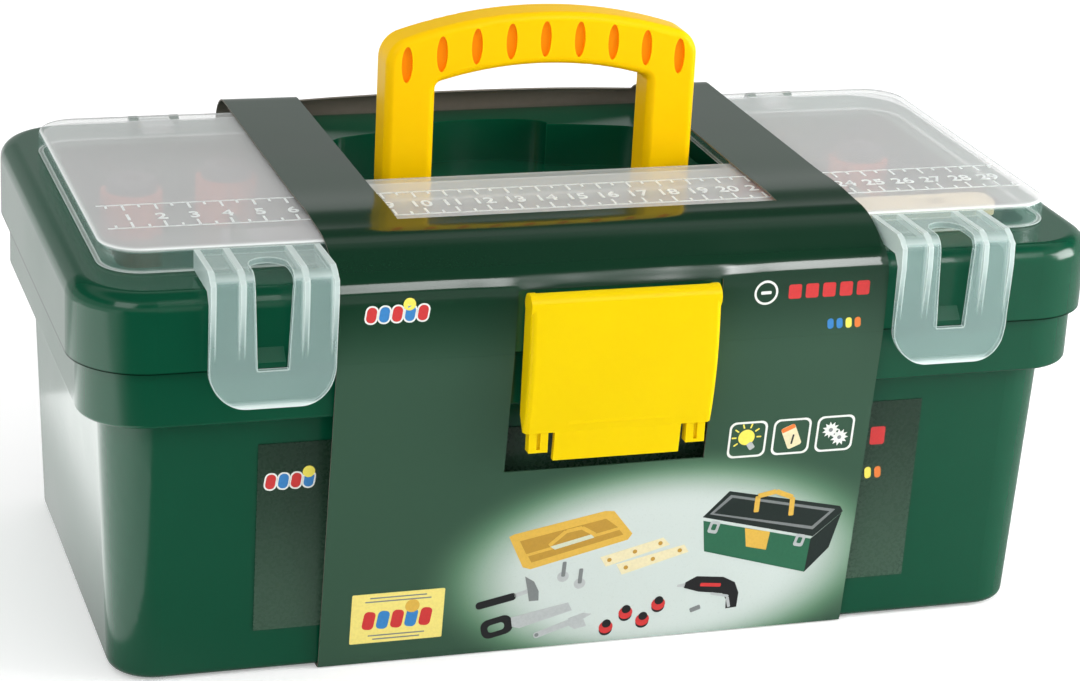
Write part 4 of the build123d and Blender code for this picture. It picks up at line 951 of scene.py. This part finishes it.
def addToolPrint():
    # A plain picture of the toy tools on the glow, in millimetres across and up: tray, bars, screws, hammer,
    # saw, spanner, nuts, drill and a small tool box.
    layer = InkLayer()

    def bar(ink, start, end, width, level=0, radius=0.4):
        run = np.subtract(end, start)
        turn = math.degrees(math.atan2(run[1], run[0]))
        loop = roundedLoop(np.add(start, end) / 2, np.hypot(*run), width, min(radius, width / 2.1), turn)
        layer.add(ink, loop, level=level)

    def bars(ink, spots, width, level):
        for start, end in zip(spots[:-1], spots[1:]):
            bar(ink, start, end, width, level)

    layer.add("tray", [
        (-28.6, 41.8), (-27.0, 42.6), (1.9, 48.4), (4.8, 48.1), (11.6, 39.5), (10.3, 37.4), (-20.7, 29.6),
        (-23.3, 30.5)])
    layer.add("trayDeep", [(-25.0, 40.0), (2.4, 45.6), (6.6, 42.2), (-22.6, 35.2)], level=1)
    layer.add("trayDeep", [(-21.9, 34.3), (7.2, 41.2), (8.6, 39.4), (-20.6, 32.0)], level=1)
    layer.add("pale", [(-15.0, 37.2), (-2.0, 40.4), (-0.9, 39.2), (-13.4, 36.0)], level=2)
    bars("tray", [(-15.4, 37.6), (-10.3, 42.2), (-5.2, 43.1), (-0.6, 40.2)], 1.3, 3)
    for corners in (((1.8, 31.8), (22.1, 37.1), (24.6, 34.3), (4.0, 28.2)),
                    ((7.4, 28.7), (29.4, 33.9), (31.1, 31.1), (9.6, 24.8))):
        layer.add("cream", corners)
        low, high = np.add(corners[0], corners[3]) / 2, np.add(corners[1], corners[2]) / 2
        for share in (0.1, 0.5, 0.9):
            layer.add("trayDeep", ringLoop(low + share * (high - low), 0.75, 12), level=1)
    for x, z in ((-9.8, 25.9), (-4.1, 22.9)):
        layer.add("silver", ringLoop((x, z), 1.9, 18))
        bar("grey", (x, z), (x + 0.1, z + 5.4), 1.3, 1)
    bar("black", (-37.4, 17.6), (-24.6, 20.4), 2.7, 0, 1.2)
    bar("silver", (-25.2, 20.4), (-20.6, 21.8), 1.5)
    layer.add("grey", [
        (-22.2, 27.1), (-19.1, 25.0), (-17.3, 21.4), (-17.1, 18.0), (-20.2, 18.0), (-21.0, 22.0)], level=1)
    layer.add("black", roundedLoop((-30.0, 9.6), 10.2, 7.0, 2.6, 14),
              roundedLoop((-30.2, 9.4), 5.4, 2.8, 1.2, 14))
    layer.add("silver", [(-25.6, 12.6), (-7.2, 16.3), (-5.7, 13.3), (-22.6, 8.4), (-25.0, 9.2)], level=1)
    bar("silver", (-17.6, 4.9), (-5.0, 9.3), 2.2, 0, 1.0)
    layer.add("silver", [
        (-6.6, 10.4), (-1.8, 12.0), (0.9, 11.3), (-1.6, 9.8), (-0.4, 7.0), (-4.2, 6.2), (-6.8, 8.0)], level=1)
    layer.add("grey", ringLoop((-16.6, 5.3), 0.7, 12), level=1)
    for x, z in ((6.2, 5.9), (12.3, 10.6), (18.2, 7.5), (23.0, 12.8)):
        layer.add("black", ringLoop((x, z - 0.9), 2.2, 20))
        layer.add("red", ringLoop((x, z), 2.3, 20), level=1)
        layer.add("black", ringLoop((x + 0.1, z + 1.3), 1.5, 20), level=2)
    layer.add("black", [
        (31.0, 17.9), (31.4, 19.9), (35.0, 21.8), (44.1, 20.7), (48.2, 18.4), (49.9, 14.4), (49.8, 9.1),
        (46.1, 8.8), (45.9, 12.2), (44.4, 14.6), (40.0, 15.4), (36.2, 16.0)])
    layer.add("silver", [(28.6, 18.5), (28.8, 19.3), (31.4, 19.6), (31.2, 18.2)])
    bar("red", (36.5, 18.6), (43.5, 17.8), 1.3, 1)
    bar("silver", (40.4, 15.0), (46.6, 13.4), 0.9, 1)
    bar("silver", (46.2, 13.2), (47.2, 9.3), 1.0, 1)
    bar("grey", (34.0, 9.2), (37.4, 10.4), 1.7)
    layer.add("night", [(34.4, 43.3), (42.4, 52.0), (80.8, 43.4), (82.0, 41.4), (72.8, 33.0)])
    layer.add("green", [(34.8, 42.0), (72.2, 32.2), (71.6, 20.0), (36.3, 30.8)])
    layer.add("night", [(72.2, 32.2), (81.6, 40.9), (78.9, 28.4), (71.6, 20.0)], level=1)
    layer.add("grey", [(36.6, 44.2), (43.0, 50.6), (79.2, 42.4), (72.4, 35.6)],
              [(38.0, 44.4), (43.6, 49.6), (77.4, 41.8), (72.0, 36.8)], level=1)
    layer.add("tray", [(49.2, 38.1), (57.9, 36.0), (57.3, 29.5), (50.3, 31.3)], level=1)
    bars("tray", [(52.2, 43.6), (52.2, 49.4), (58.2, 50.6), (64.0, 48.0), (64.2, 41.4)], 1.7, 2)
    for spot in ((38.6, 39.4), (68.4, 32.0)):
        layer.add("silver", roundedLoop(spot, 3.4, 4.4, 0.8, -14), roundedLoop(spot, 1.6, 2.2, 0.4, -14),
                  level=2)
    layer.finish("toolPrint", sleeveFace, "base")


beadInks = ("red", "blue", "red", "blue", "red")
beadShape, beadRim = (3.0, 4.8, 1.4, -8), (4.0, 5.8, 1.8, -8)
smallMarks = {
    "lidBeads": (beadInks, (-76.6, 119.8), 3.9, beadShape, beadRim, 1), "lidDisc": ((-65.2, 122.6), 1.9, 20),
    "lidBlocks": (["red"] * 5, (56.0, 119.6), 5.6, (4.2, 4.6, 0.7)),
    "lidDots": (("blue", "blue", "lemon", "orange"), (68.6, 108.4), 3.0, (2.0, 3.4, 0.9, 6)),
    "ring": (46.5, 119.8), "ringRadii": (3.9, 3.2), "ringBar": (3.4, 1.0, 0.3),
    "labelBeads": (beadInks[:4], (-103.0, 64.6), 3.9, beadShape, beadRim, 1),
    "labelDisc": ((-91.4, 67.2), 1.9, 20), "labelBlock": ((93.0, 65.2), 5.0, 6.2, 0.8),
    "labelDots": (("lemon", "orange"), (91.0, 52.4), 3.4, (2.2, 4.0, 1.0, 6)),
}
sticker = {
    "centre": (-62.4, 16.7), "width": 29.4, "height": 17.6, "corner": 0.5, "lineHigh": 0.45,
    "lines": ((7.2, 18), (5.9, 21), (-6.2, 18), (-7.5, 15)), "bead": (3.7, 6.4, 1.4, -8), "beadPitch": 4.5,
    "beadStart": (-9.0, -0.8), "disc": (4.6, 3.4), "discRadius": 2.3,
}


def rowOfMarks(layer, inkRow, start, pitch, shape, rim=None, level=0):
    # Rounded marks at an even pitch, shape giving their width, height, radius and turn, on a rim if given.
    for k, ink in enumerate(inkRow):
        spot = (start[0] + pitch * k, start[1])
        if rim:
            layer.add("white", roundedLoop(spot, *rim))
        layer.add(ink, roundedLoop(spot, *shape), level=level)


def addLidMarks(look):
    # Plain marks high on the card: beads on the left, blocks, dots and a barred ring on the right.
    layer = InkLayer()
    rowOfMarks(layer, *look["lidBeads"])
    layer.add("lemon", ringLoop(*look["lidDisc"]), level=2)
    rowOfMarks(layer, *look["lidBlocks"])
    layer.add("white", *(ringLoop(look["ring"], radius) for radius in look["ringRadii"]))
    layer.add("white", roundedLoop(look["ring"], *look["ringBar"]), level=1)
    rowOfMarks(layer, *look["lidDots"])
    layer.finish("lidMarks", sleeveFace, "lid")


def addLabelMarks(look):
    # The same kind of marks on the label, where it shows beside the card.
    layer = InkLayer()
    rowOfMarks(layer, *look["labelBeads"])
    layer.add("lemon", ringLoop(*look["labelDisc"]), level=2)
    layer.add("red", roundedLoop(*look["labelBlock"]))
    rowOfMarks(layer, *look["labelDots"])
    layer.finish("labelMarks", labelFace, "base")


def addSticker(look):
    # The yellow sticker low on the left: grey lines above and below a row of beads and one disc.
    layer = InkLayer()
    cx, cz = look["centre"]
    layer.add("sticker", roundedLoop((cx, cz), look["width"], look["height"], look["corner"]))
    for row, width in look["lines"]:
        layer.add("grey", roundedLoop((cx, cz + row), width, look["lineHigh"], 0.2), level=1)
    start = np.add(look["centre"], look["beadStart"])
    rowOfMarks(layer, beadInks, start, look["beadPitch"], look["bead"], level=1)
    layer.add("tray", ringLoop(np.add(look["centre"], look["disc"]), look["discRadius"], 20), level=2)
    layer.finish("yellowSticker", sleeveFace, "base")


addFrames(frames)
addToolPrint()
addLidMarks(smallMarks)
addLabelMarks(smallMarks)
addSticker(sticker)
print("print on the sleeve")
